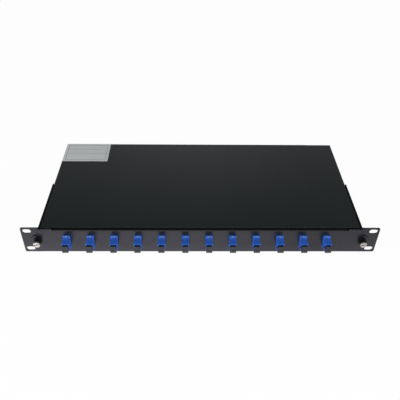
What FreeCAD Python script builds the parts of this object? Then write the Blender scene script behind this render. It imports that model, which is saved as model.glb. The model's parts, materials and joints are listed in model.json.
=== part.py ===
import FreeCAD, Part
import Sketcher
import math
import os

# A one-unit, 19 inch drawer-type fibre patch panel with twelve simplex SC adapters.
# Frame: X to the right, Y from the front to the rear, Z up, millimetres.
# The origin is the middle of the rack slots, on the rear face of the ears.

doc = FreeCAD.newDocument("FibrePatchPanel")
sheet = doc.addObject("Spreadsheet::Sheet", "Sizes")


# Sizes: each one is a cell of the sheet, and arithmetic on sizes makes formulas
class Size:
    """A number together with the spreadsheet formula that gives it."""

    def __init__(self, text, value):
        self.text = text
        self.value = value

    def __add__(self, other):
        return Size(f"({self.text} + {text_of(other)})", self.value + value_of(other))

    def __sub__(self, other):
        return Size(f"({self.text} - {text_of(other)})", self.value - value_of(other))

    def __rsub__(self, other):
        return Size(f"({text_of(other)} - {self.text})", value_of(other) - self.value)

    def __mul__(self, other):
        return Size(f"({self.text} * {text_of(other)})", self.value * value_of(other))

    def __truediv__(self, other):
        return Size(f"({self.text} / {text_of(other)})", self.value / value_of(other))

    def __neg__(self):
        return Size(f"(0 - {self.text})", -self.value)

    __radd__ = __add__
    __rmul__ = __mul__


def text_of(number):
    return number.text if isinstance(number, Size) else repr(float(number))


def value_of(number):
    return number.value if isinstance(number, Size) else float(number)


row_count = 0


def size(alias, value):
    """Write one driving dimension into the sheet and return it."""
    global row_count
    row_count += 1
    sheet.set(f"A{row_count}", alias)
    sheet.set(f"B{row_count}", str(value))
    sheet.setAlias(f"B{row_count}", alias)
    return Size(f"Sizes.{alias}", float(value))


def bind(item, prop, number):
    """Set a property from a formula of the sheet, or from a plain number."""
    item.setExpression(prop, text_of(number))


# Rack ears: the standard fixes the width and the slot pattern
rack_width = size("rack_width", 482.6)
ear_height = size("ear_height", 44)
ear_sheet = size("ear_sheet", 1.2)
ear_bend = size("ear_bend", 0.5)
ear_corner = size("ear_corner", 2.5)
ear_leg_depth = size("ear_leg_depth", 95)
slot_spacing_x = size("slot_spacing_x", 466)
slot_spacing_z = size("slot_spacing_z", 31.75)
slot_length = size("slot_length", 11.3)
slot_height = size("slot_height", 7)

# Outer sleeve
case_width = size("case_width", 431.6)
case_top_step = size("case_top_step", 1)
case_depth = size("case_depth", 202.8)
case_sheet = size("case_sheet", 1)
case_bend = size("case_bend", 1.4)
case_setback = size("case_setback", 1.3)
rear_wall_width = size("rear_wall_width", 352)
bottom_flange = size("bottom_flange", 10)
entry_tab_gap = size("entry_tab_gap", 3)
entry_foot = size("entry_foot", 13)
entry_hole_radius = size("entry_hole_radius", 10)

# Drawer: front plate and tray
plate_width = size("plate_width", 437)
plate_margin = size("plate_margin", 1.35)
tray_sheet = size("tray_sheet", 1.5)
tray_bend = size("tray_bend", 2)
tray_relief = size("tray_relief", 3)
plate_edge = size("plate_edge", 0.5)
lip_length = size("lip_length", 396.6)
lip_drop = size("lip_drop", 1.5)
lip_depth = size("lip_depth", 8)
lip_notch = size("lip_notch", 0.4)
lip_bend = size("lip_bend", 1.6)
lip_relief = size("lip_relief", 1.8)
tray_rear_gap = size("tray_rear_gap", 18)
tray_wall_height = size("tray_wall_height", 32)
tray_rear_height = size("tray_rear_height", 24)
slide_gap = size("slide_gap", 13)
tongue_radius = size("tongue_radius", 9)
thumb_spacing = size("thumb_spacing", 440.6)

# Slides between the sleeve and the tray
rail_sheet = size("rail_sheet", 1.2)
rail_height = size("rail_height", 28)
rail_front_gap = size("rail_front_gap", 3)
rail_lip = size("rail_lip", 4)
rail_start = size("rail_start", 8)
rail_rear_gap = size("rail_rear_gap", 15)
runner_web = size("runner_web", 18)
runner_back_gap = size("runner_back_gap", 5.6)
runner_rear_gap = size("runner_rear_gap", 5)
running_gap = size("running_gap", 0.3)

# SC adapters
adapter_count = size("adapter_count", 12)
adapter_pitch = size("adapter_pitch", 31.94)
adapter_shift = size("adapter_shift", -5.1)
adapter_side = size("adapter_side", 0.95)
adapter_cheek = size("adapter_cheek", 1.8)
adapter_front = size("adapter_front", 13.2)
adapter_rear = size("adapter_rear", 14.6)
adapter_edge = size("adapter_edge", 0.5)
flange_margin = size("flange_margin", 1.85)
flange_thickness = size("flange_thickness", 2)
flange_corner = size("flange_corner", 1.6)
mouth_width = size("mouth_width", 7.5)
mouth_height = size("mouth_height", 9.2)
mouth_chamfer = size("mouth_chamfer", 0.4)
key_width = size("key_width", 3)
key_depth = size("key_depth", 6.5)
small_gap = size("small_gap", 0.1)
screw_margin = size("screw_margin", 2.15)
screw_radius = size("screw_radius", 1)
screw_head_radius = size("screw_head_radius", 1.8)
screw_head_height = size("screw_head_height", 1)
nut_flats = size("nut_flats", 4)
nut_height = size("nut_height", 1.6)

# Inside of the adapters
barrel_radius = size("barrel_radius", 2.5)
barrel_length = size("barrel_length", 18)
holder_thickness = size("holder_thickness", 2.4)
latch_width = size("latch_width", 2.6)
latch_thickness = size("latch_thickness", 0.9)
latch_reach = size("latch_reach", 8)
sleeve_radius = size("sleeve_radius", 1.6)
sleeve_bore = size("sleeve_bore", 1.25)
sleeve_length = size("sleeve_length", 11.4)
sleeve_slit = size("sleeve_slit", 0.4)

# Dust caps
cap_head_side = size("cap_head_side", 0.5)
cap_head_brow = size("cap_head_brow", 0.85)
cap_head_thickness = size("cap_head_thickness", 1.5)
cap_head_corner = size("cap_head_corner", 0.9)
cap_neck = size("cap_neck", 3)
cap_entry = size("cap_entry", 1)
cap_plug_depth = size("cap_plug_depth", 5.5)
cap_bore_gap = size("cap_bore_gap", 0.3)
groove_height = size("groove_height", 0.7)
groove_depth = size("groove_depth", 0.35)
groove_spacing = size("groove_spacing", 3.4)

# Captive thumb-screws
collar_flange_radius = size("collar_flange_radius", 6)
collar_flange_height = size("collar_flange_height", 1.2)
collar_radius = size("collar_radius", 4.4)
collar_length = size("collar_length", 5.5)
collar_shank_radius = size("collar_shank_radius", 3)
thumb_head_radius = size("thumb_head_radius", 4.8)
thumb_head_height = size("thumb_head_height", 3)
thumb_thread_radius = size("thumb_thread_radius", 1.5)
thumb_thread_reach = size("thumb_thread_reach", 5)
thumb_slot_width = size("thumb_slot_width", 1.2)
thumb_slot_depth = size("thumb_slot_depth", 1.3)
thumb_slot_tilt = size("thumb_slot_tilt", 14)
thumb_edge = size("thumb_edge", 0.4)
thumb_gap = size("thumb_gap", 0.3)
clinch_radius = size("clinch_radius", 3.1)
clinch_height = size("clinch_height", 2)

# Fasteners of the case and slides
rivet_radius = size("rivet_radius", 1.6)
rivet_head_radius = size("rivet_head_radius", 3)
rivet_head_height = size("rivet_head_height", 0.9)
ear_screw_radius = size("ear_screw_radius", 1.5)
ear_screw_sink = size("ear_screw_sink", 0.9)
ear_screw_height = size("ear_screw_height", 17.8)
ear_screw_first = size("ear_screw_first", 22)
ear_screw_rear_gap = size("ear_screw_rear_gap", 21)
rivet_first = size("rivet_first", 20)
rivet_rear_gap = size("rivet_rear_gap", 26)
rivet_number = size("rivet_number", 3)

# Splice cassette and slack spools in the tray
cassette_length = size("cassette_length", 150)
cassette_width = size("cassette_width", 96)
cassette_height = size("cassette_height", 10)
cassette_wall = size("cassette_wall", 1.5)
cassette_corner = size("cassette_corner", 14)
cassette_rear_gap = size("cassette_rear_gap", 27)
lid_thickness = size("lid_thickness", 1.4)
comb_length = size("comb_length", 40)
comb_width = size("comb_width", 26)
comb_height = size("comb_height", 5)
comb_groove = size("comb_groove", 2.2)
comb_pitch = size("comb_pitch", 4)
comb_grooves = size("comb_grooves", 6)
cassette_screw_spacing = size("cassette_screw_spacing", 110)
cassette_screw_radius = size("cassette_screw_radius", 1.5)
cassette_screw_head = size("cassette_screw_head", 2.8)
cassette_screw_head_height = size("cassette_screw_head_height", 1.6)
spool_radius = size("spool_radius", 13)
spool_height = size("spool_height", 11)
spool_rim_radius = size("spool_rim_radius", 17)
spool_rim_height = size("spool_rim_height", 1.6)
spool_spacing_x = size("spool_spacing_x", 300)
spool_spacing_y = size("spool_spacing_y", 80)

# Cable entries at the rear corners
grommet_radius = size("grommet_radius", 12)
grommet_bore = size("grommet_bore", 6)
grommet_collar = size("grommet_collar", 2.5)

doc.recompute()

# Places worked out from those sizes
case_height = ear_height - case_top_step
case_half = case_width / 2
case_inner = case_half - case_sheet
case_bottom_z = -ear_height / 2
case_top_z = case_bottom_z + case_height
plate_height = ear_height - plate_margin * 2
plate_front_y = -ear_sheet - tray_sheet
plate_back_y = -ear_sheet
plate_top_z = plate_height / 2
lip_top_z = plate_top_z - lip_drop
tray_bottom_z = -plate_height / 2
tray_floor_z = tray_bottom_z + tray_sheet
tray_half = case_inner - slide_gap
tray_rear_y = case_depth - tray_rear_gap
rail_reach = slide_gap - rail_front_gap
rail_end_y = case_depth - rail_rear_gap
rivet_step = (rail_end_y - rivet_rear_gap - rivet_first) / (rivet_number - 1)
ear_screw_step = ear_leg_depth - ear_screw_first - ear_screw_rear_gap
runner_reach = slide_gap - runner_back_gap
runner_end_y = tray_rear_y - runner_rear_gap
adapter_width = mouth_width + adapter_side * 2
adapter_height = mouth_height + adapter_cheek * 2
screw_spacing = adapter_height + screw_margin * 2
flange_height = screw_spacing + flange_margin * 2
cap_head_width = mouth_width + cap_head_side * 2
cap_head_height = mouth_height + cap_head_brow * 2
adapter_first_x = adapter_shift - adapter_pitch * (adapter_count - 1) / 2
rim_y = plate_front_y - adapter_front
rear_rim_y = plate_front_y + adapter_rear
holder_middle_y = (rim_y + rear_rim_y) / 2
cassette_middle = tray_rear_y - cassette_rear_gap - cassette_width / 2
entry_tab_height = case_height - case_sheet - entry_tab_gap
entry_x = (rear_wall_width / 2 + case_inner) / 2
entry_z = case_bottom_z + entry_tab_height / 2
base_z = case_bottom_z + case_sheet
fold_y = case_depth - case_bend
entry_y = fold_y - case_sheet


class Drawing:
    """A sketch on an origin plane of a body, with every point bound to the sheet."""

    def __init__(self, body, plane, level):
        self.sketch = body.newObject("Sketcher::SketchObject", "Sketch")
        support = [item for item in body.Origin.OriginFeatures if item.Role == plane][0]
        self.sketch.AttachmentSupport = (support, [""])
        self.sketch.MapMode = "FlatFace"
        # The XZ plane faces the front, so its offset runs against Y
        bind(self.sketch, "AttachmentOffset.Base.z", -level if plane == "XZ_Plane" else level)

    def rule(self, kind, number, *places):
        index = self.sketch.addConstraint(Sketcher.Constraint(kind, *places, value_of(number)))
        if isinstance(number, Size):
            bind(self.sketch, f"Constraints[{index}]", number)

    def place(self, shape, point, x, y):
        """Fix one point of a shape at x, y of the sketch."""
        for kind, number, axis in (("DistanceX", x, -2), ("DistanceY", y, -1)):
            if isinstance(number, Size) or number != 0:
                self.rule(kind, number, -1, 1, shape, point)
            else:
                self.sketch.addConstraint(Sketcher.Constraint("PointOnObject", shape, point, axis))

    def polygon(self, points):
        corners = [FreeCAD.Vector(value_of(x), value_of(y), 0) for x, y in points]
        following = corners[1:] + corners[:1]
        lines = [self.sketch.addGeometry(Part.LineSegment(a, b), False) for a, b in zip(corners, following)]
        for line, after in zip(lines, lines[1:] + lines[:1]):
            self.sketch.addConstraint(Sketcher.Constraint("Coincident", line, 2, after, 1))
        for line, (x, y) in zip(lines, points):
            self.place(line, 1, x, y)

    def rectangle(self, x0, y0, x1, y1):
        self.polygon([(x0, y0), (x1, y0), (x1, y1), (x0, y1)])

    def centred(self, width, height, x=0, y=0):
        """A rectangle of a width and height about a point."""
        self.rectangle(x - width / 2, y - height / 2, x + width / 2, y + height / 2)

    def circle(self, x, y, radius):
        middle = FreeCAD.Vector(value_of(x), value_of(y), 0)
        ring = Part.Circle(middle, FreeCAD.Vector(0, 0, 1), value_of(radius))
        shape = self.sketch.addGeometry(ring, False)
        self.rule("Radius", radius, shape)
        self.place(shape, 3, x, y)

    def hexagon(self, x, y, flats):
        """A hexagon with a flat at its top and its bottom."""
        reach = flats / math.sqrt(3)
        half = flats / 2
        self.polygon([(x + reach, y), (x + reach / 2, y + half), (x - reach / 2, y + half),
                      (x - reach, y), (x - reach / 2, y - half), (x + reach / 2, y - half)])

    def rounded(self, width, height, x, y, radius):
        """A rectangle about a point, with round corners."""
        arcs = []
        for quarter, (across, along) in enumerate(((1, 1), (-1, 1), (-1, -1), (1, -1))):
            middle_x = x + (width / 2 - radius) * across
            middle_y = y + (height / 2 - radius) * along
            middle = FreeCAD.Vector(value_of(middle_x), value_of(middle_y), 0)
            ring = Part.Circle(middle, FreeCAD.Vector(0, 0, 1), value_of(radius))
            start = quarter * math.pi / 2
            arc = self.sketch.addGeometry(Part.ArcOfCircle(ring, start, start + math.pi / 2), False)
            self.rule("Radius", radius, arc)
            self.place(arc, 3, middle_x, middle_y)
            arcs.append(arc)
        for arc, after in zip(arcs, arcs[1:] + arcs[:1]):
            a = self.sketch.Geometry[arc].EndPoint
            b = self.sketch.Geometry[after].StartPoint
            line = self.sketch.addGeometry(Part.LineSegment(a, b), False)
            self.sketch.addConstraint(Sketcher.Constraint("Tangent", arc, 2, line, 1))
            self.sketch.addConstraint(Sketcher.Constraint("Tangent", after, 1, line, 2))

    def slot(self, x, y, length, height):
        """A hole with round ends that runs along the sketch's first axis."""
        radius = height / 2
        reach = (length - height) / 2
        ends = []
        for sign, start in ((-1, math.pi / 2), (1, -math.pi / 2)):
            middle = FreeCAD.Vector(value_of(x + reach * sign), value_of(y), 0)
            ring = Part.Circle(middle, FreeCAD.Vector(0, 0, 1), value_of(radius))
            arc = self.sketch.addGeometry(Part.ArcOfCircle(ring, start, start + math.pi), False)
            self.rule("Radius", radius, arc)
            self.place(arc, 3, x + reach * sign, y)
            ends.append(arc)
        left, right = ends
        for sign, first_end, last_end in ((1, 1, 2), (-1, 2, 1)):
            a = FreeCAD.Vector(value_of(x - reach), value_of(y + radius * sign), 0)
            b = FreeCAD.Vector(value_of(x + reach), value_of(y + radius * sign), 0)
            line = self.sketch.addGeometry(Part.LineSegment(a, b), False)
            self.sketch.addConstraint(Sketcher.Constraint("Tangent", left, first_end, line, 1))
            self.sketch.addConstraint(Sketcher.Constraint("Tangent", right, last_end, line, 2))


def new_body(label, x=0):
    """An empty sub-part; x moves it along the row of adapters."""
    body = doc.addObject("PartDesign::Body", label)
    body.Label = label
    if isinstance(x, Size):
        bind(body, "Placement.Base.x", x)
    return body


def finish_feature(body, feature):
    doc.recompute()
    body.Tip = feature
    if feature.Shape.isNull():
        raise RuntimeError(f"{body.Label}: {feature.Name} made no shape")
    return feature


def add(body, plane, start, end, draw, flare=0):
    """Pad a drawing from one level to a higher one along the plane's normal axis."""
    drawing = Drawing(body, plane, start)
    draw(drawing)
    pad = body.newObject("PartDesign::Pad", "Pad")
    pad.Profile = drawing.sketch
    bind(pad, "Length", end - start)
    pad.TaperAngle = flare
    pad.Reversed = plane == "XZ_Plane"
    return finish_feature(body, pad)


def cut(body, plane, start, end, draw, flare=0):
    """Pocket a drawing from one level to a higher one, and see that it removed material."""
    before = body.Tip.Shape.Volume
    drawing = Drawing(body, plane, start)
    draw(drawing)
    pocket = body.newObject("PartDesign::Pocket", "Pocket")
    pocket.Profile = drawing.sketch
    bind(pocket, "Length", end - start)
    pocket.TaperAngle = flare
    pocket.Reversed = plane != "XZ_Plane"
    finish_feature(body, pocket)
    if pocket.Shape.Volume > before - 1e-6:
        raise RuntimeError(f"{body.Label}: {pocket.Name} cut nothing")
    return pocket


def repeat(body, features, axis, pitch, count):
    """Repeat features in a row along an axis of their own sketch."""
    pattern = body.newObject("PartDesign::LinearPattern", "Row")
    pattern.Originals = features
    pattern.Direction = (features[0].Profile[0], [axis])
    bind(pattern, "Length", pitch * (count - 1))
    bind(pattern, "Occurrences", count)
    return finish_feature(body, pattern)


def edges(body, axis, test):
    """Names of the straight edges along an axis whose middle passes a test."""
    names = []
    for number, edge in enumerate(body.Tip.Shape.Edges, 1):
        if edge.Curve.TypeId != "Part::GeomLine":
            continue
        run = edge.Vertexes[-1].Point - edge.Vertexes[0].Point
        if abs(getattr(run, axis)) > 0.999 * run.Length and test(edge.CenterOfMass):
            names.append(f"Edge{number}")
    if not names:
        raise RuntimeError(f"{body.Label}: no edge found along {axis}")
    return names


def near(number, wanted):
    return abs(number - value_of(wanted)) < 0.01


def soften(body, kind, amount, names):
    """Round or bevel named edges of the last feature."""
    base = body.Tip
    feature = body.newObject(f"PartDesign::{kind}", kind)
    feature.Base = (base, names)
    bind(feature, "Radius" if kind == "Fillet" else "Size", amount)
    return finish_feature(body, feature)


# Outer sleeve: one sheet folded into top, sides, rear wall and the flanges that carry the floor
def make_case_shell():
    body = new_body("case_shell")
    flange_x = case_half - bottom_flange
    flange_z = base_z + case_sheet

    def channel(draw):
        right = [(flange_x, base_z), (case_half, base_z), (case_half, case_top_z)]
        inside = [(case_inner, case_top_z - case_sheet), (case_inner, flange_z), (flange_x, flange_z)]
        left = [(-x, z) for x, z in reversed(right)]
        left_inside = [(-x, z) for x, z in reversed(inside)]
        draw.polygon(right + left + left_inside + inside)

    def rear_fold(draw):
        draw.polygon([(fold_y, case_top_z), (case_depth, case_top_z), (case_depth, base_z),
                      (case_depth - case_sheet, base_z), (case_depth - case_sheet, case_top_z - case_sheet),
                      (fold_y, case_top_z - case_sheet)])

    def rounded_fold(number, fold):
        return near(number.z, case_top_z - fold) or near(number.z, base_z + fold)

    # The sleeve starts behind the ears, so the lip of the drawer shows as a dark line in the gap
    add(body, "XZ_Plane", case_setback, fold_y, channel)
    soften(body, "Fillet", case_bend, edges(
        body, "y", lambda p: rounded_fold(p, 0) and near(abs(p.x), case_half)))
    soften(body, "Fillet", case_bend - case_sheet, edges(
        body, "y", lambda p: rounded_fold(p, case_sheet.value) and near(abs(p.x), case_inner)))
    add(body, "YZ_Plane", -rear_wall_width / 2, rear_wall_width / 2, rear_fold)
    soften(body, "Fillet", case_bend, edges(
        body, "x", lambda p: near(p.z, case_top_z) and near(p.y, case_depth)))
    # Ear screws and slide rivets go through the sides
    cut(body, "YZ_Plane", -case_half, case_half, ear_screw_holes)
    cut(body, "YZ_Plane", -case_half, case_half, rail_rivet_holes)
    return body


def ear_screw_circles(radius):
    """The four screw places on a side of the sleeve."""
    def draw_circles(draw):
        for sign in (-1, 1):
            for step in (0, 1):
                draw.circle(ear_screw_first + ear_screw_step * step, ear_screw_height * sign, radius)
    return draw_circles


ear_screw_holes = ear_screw_circles(ear_screw_radius + small_gap)


def rail_rivet_holes(draw):
    for step in range(int(rivet_number.value)):
        draw.circle(rivet_first + rivet_step * step, 0, rivet_radius + small_gap)


# Flat floor, spot-welded under the flanges of the sleeve
def make_case_bottom():
    body = new_body("case_bottom")
    add(body, "XY_Plane", case_bottom_z, base_z,
        lambda draw: draw.rectangle(-case_half, 0, case_half, case_depth))
    return body


# Corner plate that carries a cable entry, with a foot along the side of the sleeve
def make_entry_plate(side, label):
    body = new_body(label)
    start = base_z + case_bend
    end = case_bottom_z + entry_tab_height
    inner = rear_wall_width / 2 + small_gap
    foot_y = fold_y - entry_foot

    def angle(draw):
        draw.polygon([(x * side, y) for x, y in (
            (inner, entry_y), (inner, fold_y), (case_inner, fold_y), (case_inner, foot_y),
            (case_inner - case_sheet, foot_y), (case_inner - case_sheet, entry_y))])

    add(body, "XY_Plane", start, end, angle)
    soften(body, "Fillet", case_bend, edges(
        body, "z", lambda p: near(p.x, case_inner * side) and near(p.y, fold_y)))
    soften(body, "Fillet", case_bend - case_sheet, edges(
        body, "z", lambda p: near(p.x, (case_inner - case_sheet) * side) and near(p.y, entry_y)))
    cut(body, "XZ_Plane", entry_y, fold_y,
        lambda draw: draw.circle(entry_x * side, entry_z, entry_hole_radius))
    return body


# Rack ears: angles whose leg lies on the side of the sleeve
def make_ear(side, label):
    body = new_body(label)
    leg_outer = case_half + ear_sheet
    outer = rack_width / 2

    def angle(draw):
        draw.polygon([(case_half * side, ear_leg_depth), (case_half * side, plate_back_y),
                      (outer * side, plate_back_y), (outer * side, 0),
                      (leg_outer * side, 0), (leg_outer * side, ear_leg_depth)])

    add(body, "XY_Plane", -ear_height / 2, ear_height / 2, angle)
    soften(body, "Fillet", ear_bend + ear_sheet, edges(
        body, "z", lambda p: near(p.x, case_half * side) and near(p.y, plate_back_y)))
    soften(body, "Fillet", ear_bend, edges(
        body, "z", lambda p: near(p.x, leg_outer * side) and near(p.y, 0)))
    soften(body, "Fillet", ear_corner, edges(body, "y", lambda p: near(p.x, outer * side)))

    def rack_slots(draw):
        for sign in (-1, 1):
            draw.slot(slot_spacing_x / 2 * side, slot_spacing_z / 2 * sign, slot_length, slot_height)

    cut(body, "XZ_Plane", plate_back_y, 0, rack_slots)
    cut(body, "XZ_Plane", plate_back_y, 0,
        lambda draw: draw.circle(thumb_spacing / 2 * side, 0, clinch_radius - clinch_height / 4))
    sunk = leg_outer - ear_screw_sink
    if side > 0:
        cut(body, "YZ_Plane", case_half, leg_outer, ear_screw_holes)
        cut(body, "YZ_Plane", sunk, leg_outer, ear_screw_circles(ear_screw_radius), 45)
    else:
        cut(body, "YZ_Plane", -leg_outer, -case_half, ear_screw_holes)
        cut(body, "YZ_Plane", -leg_outer, -sunk, ear_screw_circles(ear_screw_radius + ear_screw_sink), -45)
    return body


# Drawer: front plate, top lip, floor, sides and rear wall folded from one sheet
def make_drawer_tray():
    body = new_body("drawer_tray")
    plate_half = plate_width / 2
    lip_half = lip_length / 2
    wall_top = tray_bottom_z + tray_wall_height

    def plate(draw):
        right = [(plate_half, tray_bottom_z), (plate_half, plate_top_z),
                 (lip_half + lip_notch, plate_top_z), (lip_half + lip_notch, lip_top_z - lip_relief),
                 (lip_half, lip_top_z - lip_relief), (lip_half, lip_top_z)]
        draw.polygon(right + [(-x, z) for x, z in reversed(right)])

    def lip(draw):
        draw.rectangle(plate_back_y, lip_top_z - tray_sheet, plate_front_y + lip_depth, lip_top_z)

    def channel(draw):
        inner = tray_half - tray_sheet
        draw.polygon([(-tray_half, tray_bottom_z), (tray_half, tray_bottom_z), (tray_half, wall_top),
                      (inner, wall_top), (inner, tray_floor_z), (-inner, tray_floor_z),
                      (-inner, wall_top), (-tray_half, wall_top)])

    def floor(draw):
        draw.rectangle(-tray_half + tray_relief, plate_front_y, tray_half - tray_relief, tray_rear_y)

    def rear(draw):
        draw.rectangle(-tray_half + tray_relief, tray_floor_z, tray_half - tray_relief,
                       tray_bottom_z + tray_rear_height)

    # The sides stop short of the front and rear folds, which leaves the corner reliefs
    add(body, "XZ_Plane", plate_back_y + tray_relief, tray_rear_y - tray_relief, channel)
    soften(body, "Fillet", tray_bend, edges(body, "y", lambda p: near(p.z, tray_bottom_z)))
    soften(body, "Fillet", tray_bend - tray_sheet, edges(body, "y", lambda p: near(p.z, tray_floor_z)))
    add(body, "XY_Plane", tray_bottom_z, tray_floor_z, floor)
    add(body, "XZ_Plane", plate_front_y, plate_back_y, plate)
    add(body, "YZ_Plane", -lip_half, lip_half, lip)
    add(body, "XZ_Plane", tray_rear_y - tray_sheet, tray_rear_y, rear)
    soften(body, "Fillet", lip_bend, edges(
        body, "x", lambda p: near(p.z, lip_top_z) and near(p.y, plate_front_y)))
    soften(body, "Fillet", plate_edge, edges(
        body, "x", lambda p: near(p.z, tray_bottom_z) and near(p.y, plate_front_y)))
    soften(body, "Fillet", tray_bend, edges(
        body, "x", lambda p: near(p.z, tray_bottom_z) and near(p.y, tray_rear_y)))

    def tongue(draw):
        for side in (-1, 1):
            draw.circle(thumb_spacing / 2 * side, 0, tongue_radius)

    def thumb_holes(draw):
        for side in (-1, 1):
            draw.circle(thumb_spacing / 2 * side, 0, collar_shank_radius + small_gap)

    def adapter_hole(draw):
        draw.centred(adapter_width + small_gap * 2, adapter_height + small_gap * 2, adapter_first_x)
        for sign in (-1, 1):
            draw.circle(adapter_first_x, screw_spacing / 2 * sign, screw_radius + small_gap)

    def cable_notches(draw):
        for side in (-1, 1):
            draw.rectangle((entry_x - grommet_radius) * side, entry_z - grommet_radius / 2,
                           (entry_x + grommet_radius) * side, tray_bottom_z + tray_rear_height)

    def runner_holes(draw):
        for step in range(int(rivet_number.value)):
            draw.circle(rivet_first + rivet_step * step, 0, rivet_radius + small_gap)

    def floor_holes(draw):
        for side in (-1, 1):
            draw.circle(cassette_screw_spacing / 2 * side, cassette_middle,
                        cassette_screw_radius + small_gap)

    add(body, "XZ_Plane", plate_front_y, plate_back_y, tongue)
    cut(body, "XZ_Plane", plate_front_y, plate_back_y, thumb_holes)
    hole = cut(body, "XZ_Plane", plate_front_y, plate_back_y, adapter_hole)
    repeat(body, [hole], "H_Axis", adapter_pitch, adapter_count)
    cut(body, "XZ_Plane", tray_rear_y - tray_sheet, tray_rear_y, cable_notches)
    cut(body, "YZ_Plane", -tray_half, tray_half, runner_holes)
    cut(body, "XY_Plane", tray_bottom_z, tray_floor_z, floor_holes)
    return body


# Slides: a lipped channel on the sleeve and a hat-shaped runner on the tray
def make_rail(side, label):
    body = new_body(label)
    half = rail_height / 2
    web = case_inner - rail_sheet
    mouth = case_inner - rail_reach

    def section(draw):
        draw.polygon([(x * side, z) for x, z in (
            (case_inner, -half), (case_inner, half), (mouth, half), (mouth, half - rail_lip),
            (mouth + rail_sheet, half - rail_lip), (mouth + rail_sheet, half - rail_sheet),
            (web, half - rail_sheet), (web, -half + rail_sheet), (mouth + rail_sheet, -half + rail_sheet),
            (mouth + rail_sheet, -half + rail_lip), (mouth, -half + rail_lip), (mouth, -half))])

    add(body, "XZ_Plane", rail_start, rail_end_y, section)
    cut(body, "YZ_Plane", -case_half, case_half, rail_rivet_holes)
    return body


def make_runner(side, label):
    body = new_body(label)
    web_half = runner_web / 2
    flare = rail_height / 2 - rail_sheet - running_gap
    root = tray_half
    tip = tray_half + runner_reach

    def section(draw):
        draw.polygon([(x * side, z) for x, z in (
            (root, -web_half), (root, web_half), (tip - rail_sheet, web_half), (tip - rail_sheet, flare),
            (tip, flare), (tip, web_half - rail_sheet), (root + rail_sheet, web_half - rail_sheet),
            (root + rail_sheet, -web_half + rail_sheet), (tip, -web_half + rail_sheet), (tip, -flare),
            (tip - rail_sheet, -flare), (tip - rail_sheet, -web_half))])

    add(body, "XZ_Plane", rail_start, runner_end_y, section)
    cut(body, "YZ_Plane", -case_half, case_half, rail_rivet_holes)
    return body


def pair_of_pins(body, first, last, radius):
    """Round pins along X between two levels, one on each side."""
    return [add(body, "YZ_Plane", start, end, lambda draw: draw.circle(rivet_first, 0, radius))
            for start, end in ((first, last), (-last, -first))]


def make_rail_rivets(label, tip, head, root):
    """Rivets on both sides: shank from the tip to the head, head up to the root."""
    body = new_body(label)
    low, high = (tip, head) if tip.value < head.value else (head, tip)
    pins = pair_of_pins(body, low, high, rivet_radius)
    low, high = (head, root) if head.value < root.value else (root, head)
    pins += pair_of_pins(body, low, high, rivet_head_radius)
    repeat(body, pins, "H_Axis", rivet_step, rivet_number)
    return body


def make_ear_screws():
    body = new_body("ear_screws")
    face = case_half + ear_sheet
    neck = face - ear_screw_sink
    inside = case_inner - case_sheet
    wide = ear_screw_radius + ear_screw_sink
    add(body, "YZ_Plane", inside, neck, ear_screw_circles(ear_screw_radius))
    add(body, "YZ_Plane", neck, face, ear_screw_circles(ear_screw_radius), 45)
    add(body, "YZ_Plane", -neck, -inside, ear_screw_circles(ear_screw_radius))
    add(body, "YZ_Plane", -face, -neck, ear_screw_circles(wide), -45)
    return body


def make_ear_nuts():
    body = new_body("ear_nuts")

    def rings(radius):
        def draw_rings(draw):
            for side in (-1, 1):
                draw.circle(thumb_spacing / 2 * side, 0, radius)
                draw.circle(thumb_spacing / 2 * side, 0, thumb_thread_radius + thumb_gap)
        return draw_rings

    add(body, "XZ_Plane", plate_back_y, 0, rings(clinch_radius - clinch_height / 4))
    add(body, "XZ_Plane", 0, clinch_height, rings(clinch_radius))
    return body


# SC adapter: flanged housing, hollow from end to end, with a key slot at each mouth
def make_adapter(number):
    body = new_body(f"adapter_{number + 1:02d}", adapter_first_x + adapter_pitch * number)
    flange_y = plate_front_y - flange_thickness
    add(body, "XZ_Plane", rim_y, rear_rim_y, lambda draw: draw.centred(adapter_width, adapter_height))
    soften(body, "Fillet", adapter_edge, edges(body, "y", lambda p: True))
    add(body, "XZ_Plane", flange_y, plate_front_y, lambda draw: draw.centred(adapter_width, flange_height))
    soften(body, "Fillet", flange_corner, edges(
        body, "y", lambda p: near(abs(p.z), flange_height / 2)))
    cut(body, "XZ_Plane", rim_y, rear_rim_y, lambda draw: draw.centred(mouth_width, mouth_height))

    def screw_holes(draw):
        for sign in (-1, 1):
            draw.circle(0, screw_spacing / 2 * sign, screw_radius + small_gap)

    cut(body, "XZ_Plane", flange_y, plate_front_y, screw_holes)
    soften(body, "Chamfer", mouth_chamfer, edges(body, "x", lambda p: near(abs(p.z), mouth_height / 2)))
    for start, end in ((rim_y, rim_y + key_depth), (rear_rim_y - key_depth, rear_rim_y)):
        cut(body, "XZ_Plane", start, end, lambda draw: draw.rectangle(
            -adapter_width / 2, -key_width / 2, -mouth_width / 2, key_width / 2))
    return body


def make_adapter_screws():
    body = new_body("adapter_screws")
    seat = plate_front_y - flange_thickness

    def pair(radius):
        def draw_pair(draw):
            for sign in (-1, 1):
                draw.circle(adapter_first_x, screw_spacing / 2 * sign, radius)
        return draw_pair

    head = add(body, "XZ_Plane", seat - screw_head_height, seat, pair(screw_head_radius))
    shank = add(body, "XZ_Plane", seat, plate_back_y + nut_height, pair(screw_radius))
    repeat(body, [head, shank], "H_Axis", adapter_pitch, adapter_count)
    return body


def make_adapter_nuts():
    body = new_body("adapter_nuts")

    def pair(draw):
        for sign in (-1, 1):
            draw.hexagon(adapter_first_x, screw_spacing / 2 * sign, nut_flats)
            draw.circle(adapter_first_x, screw_spacing / 2 * sign, screw_radius + small_gap)

    nut = add(body, "XZ_Plane", plate_back_y, plate_back_y + nut_height, pair)
    repeat(body, [nut], "H_Axis", adapter_pitch, adapter_count)
    return body


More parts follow.
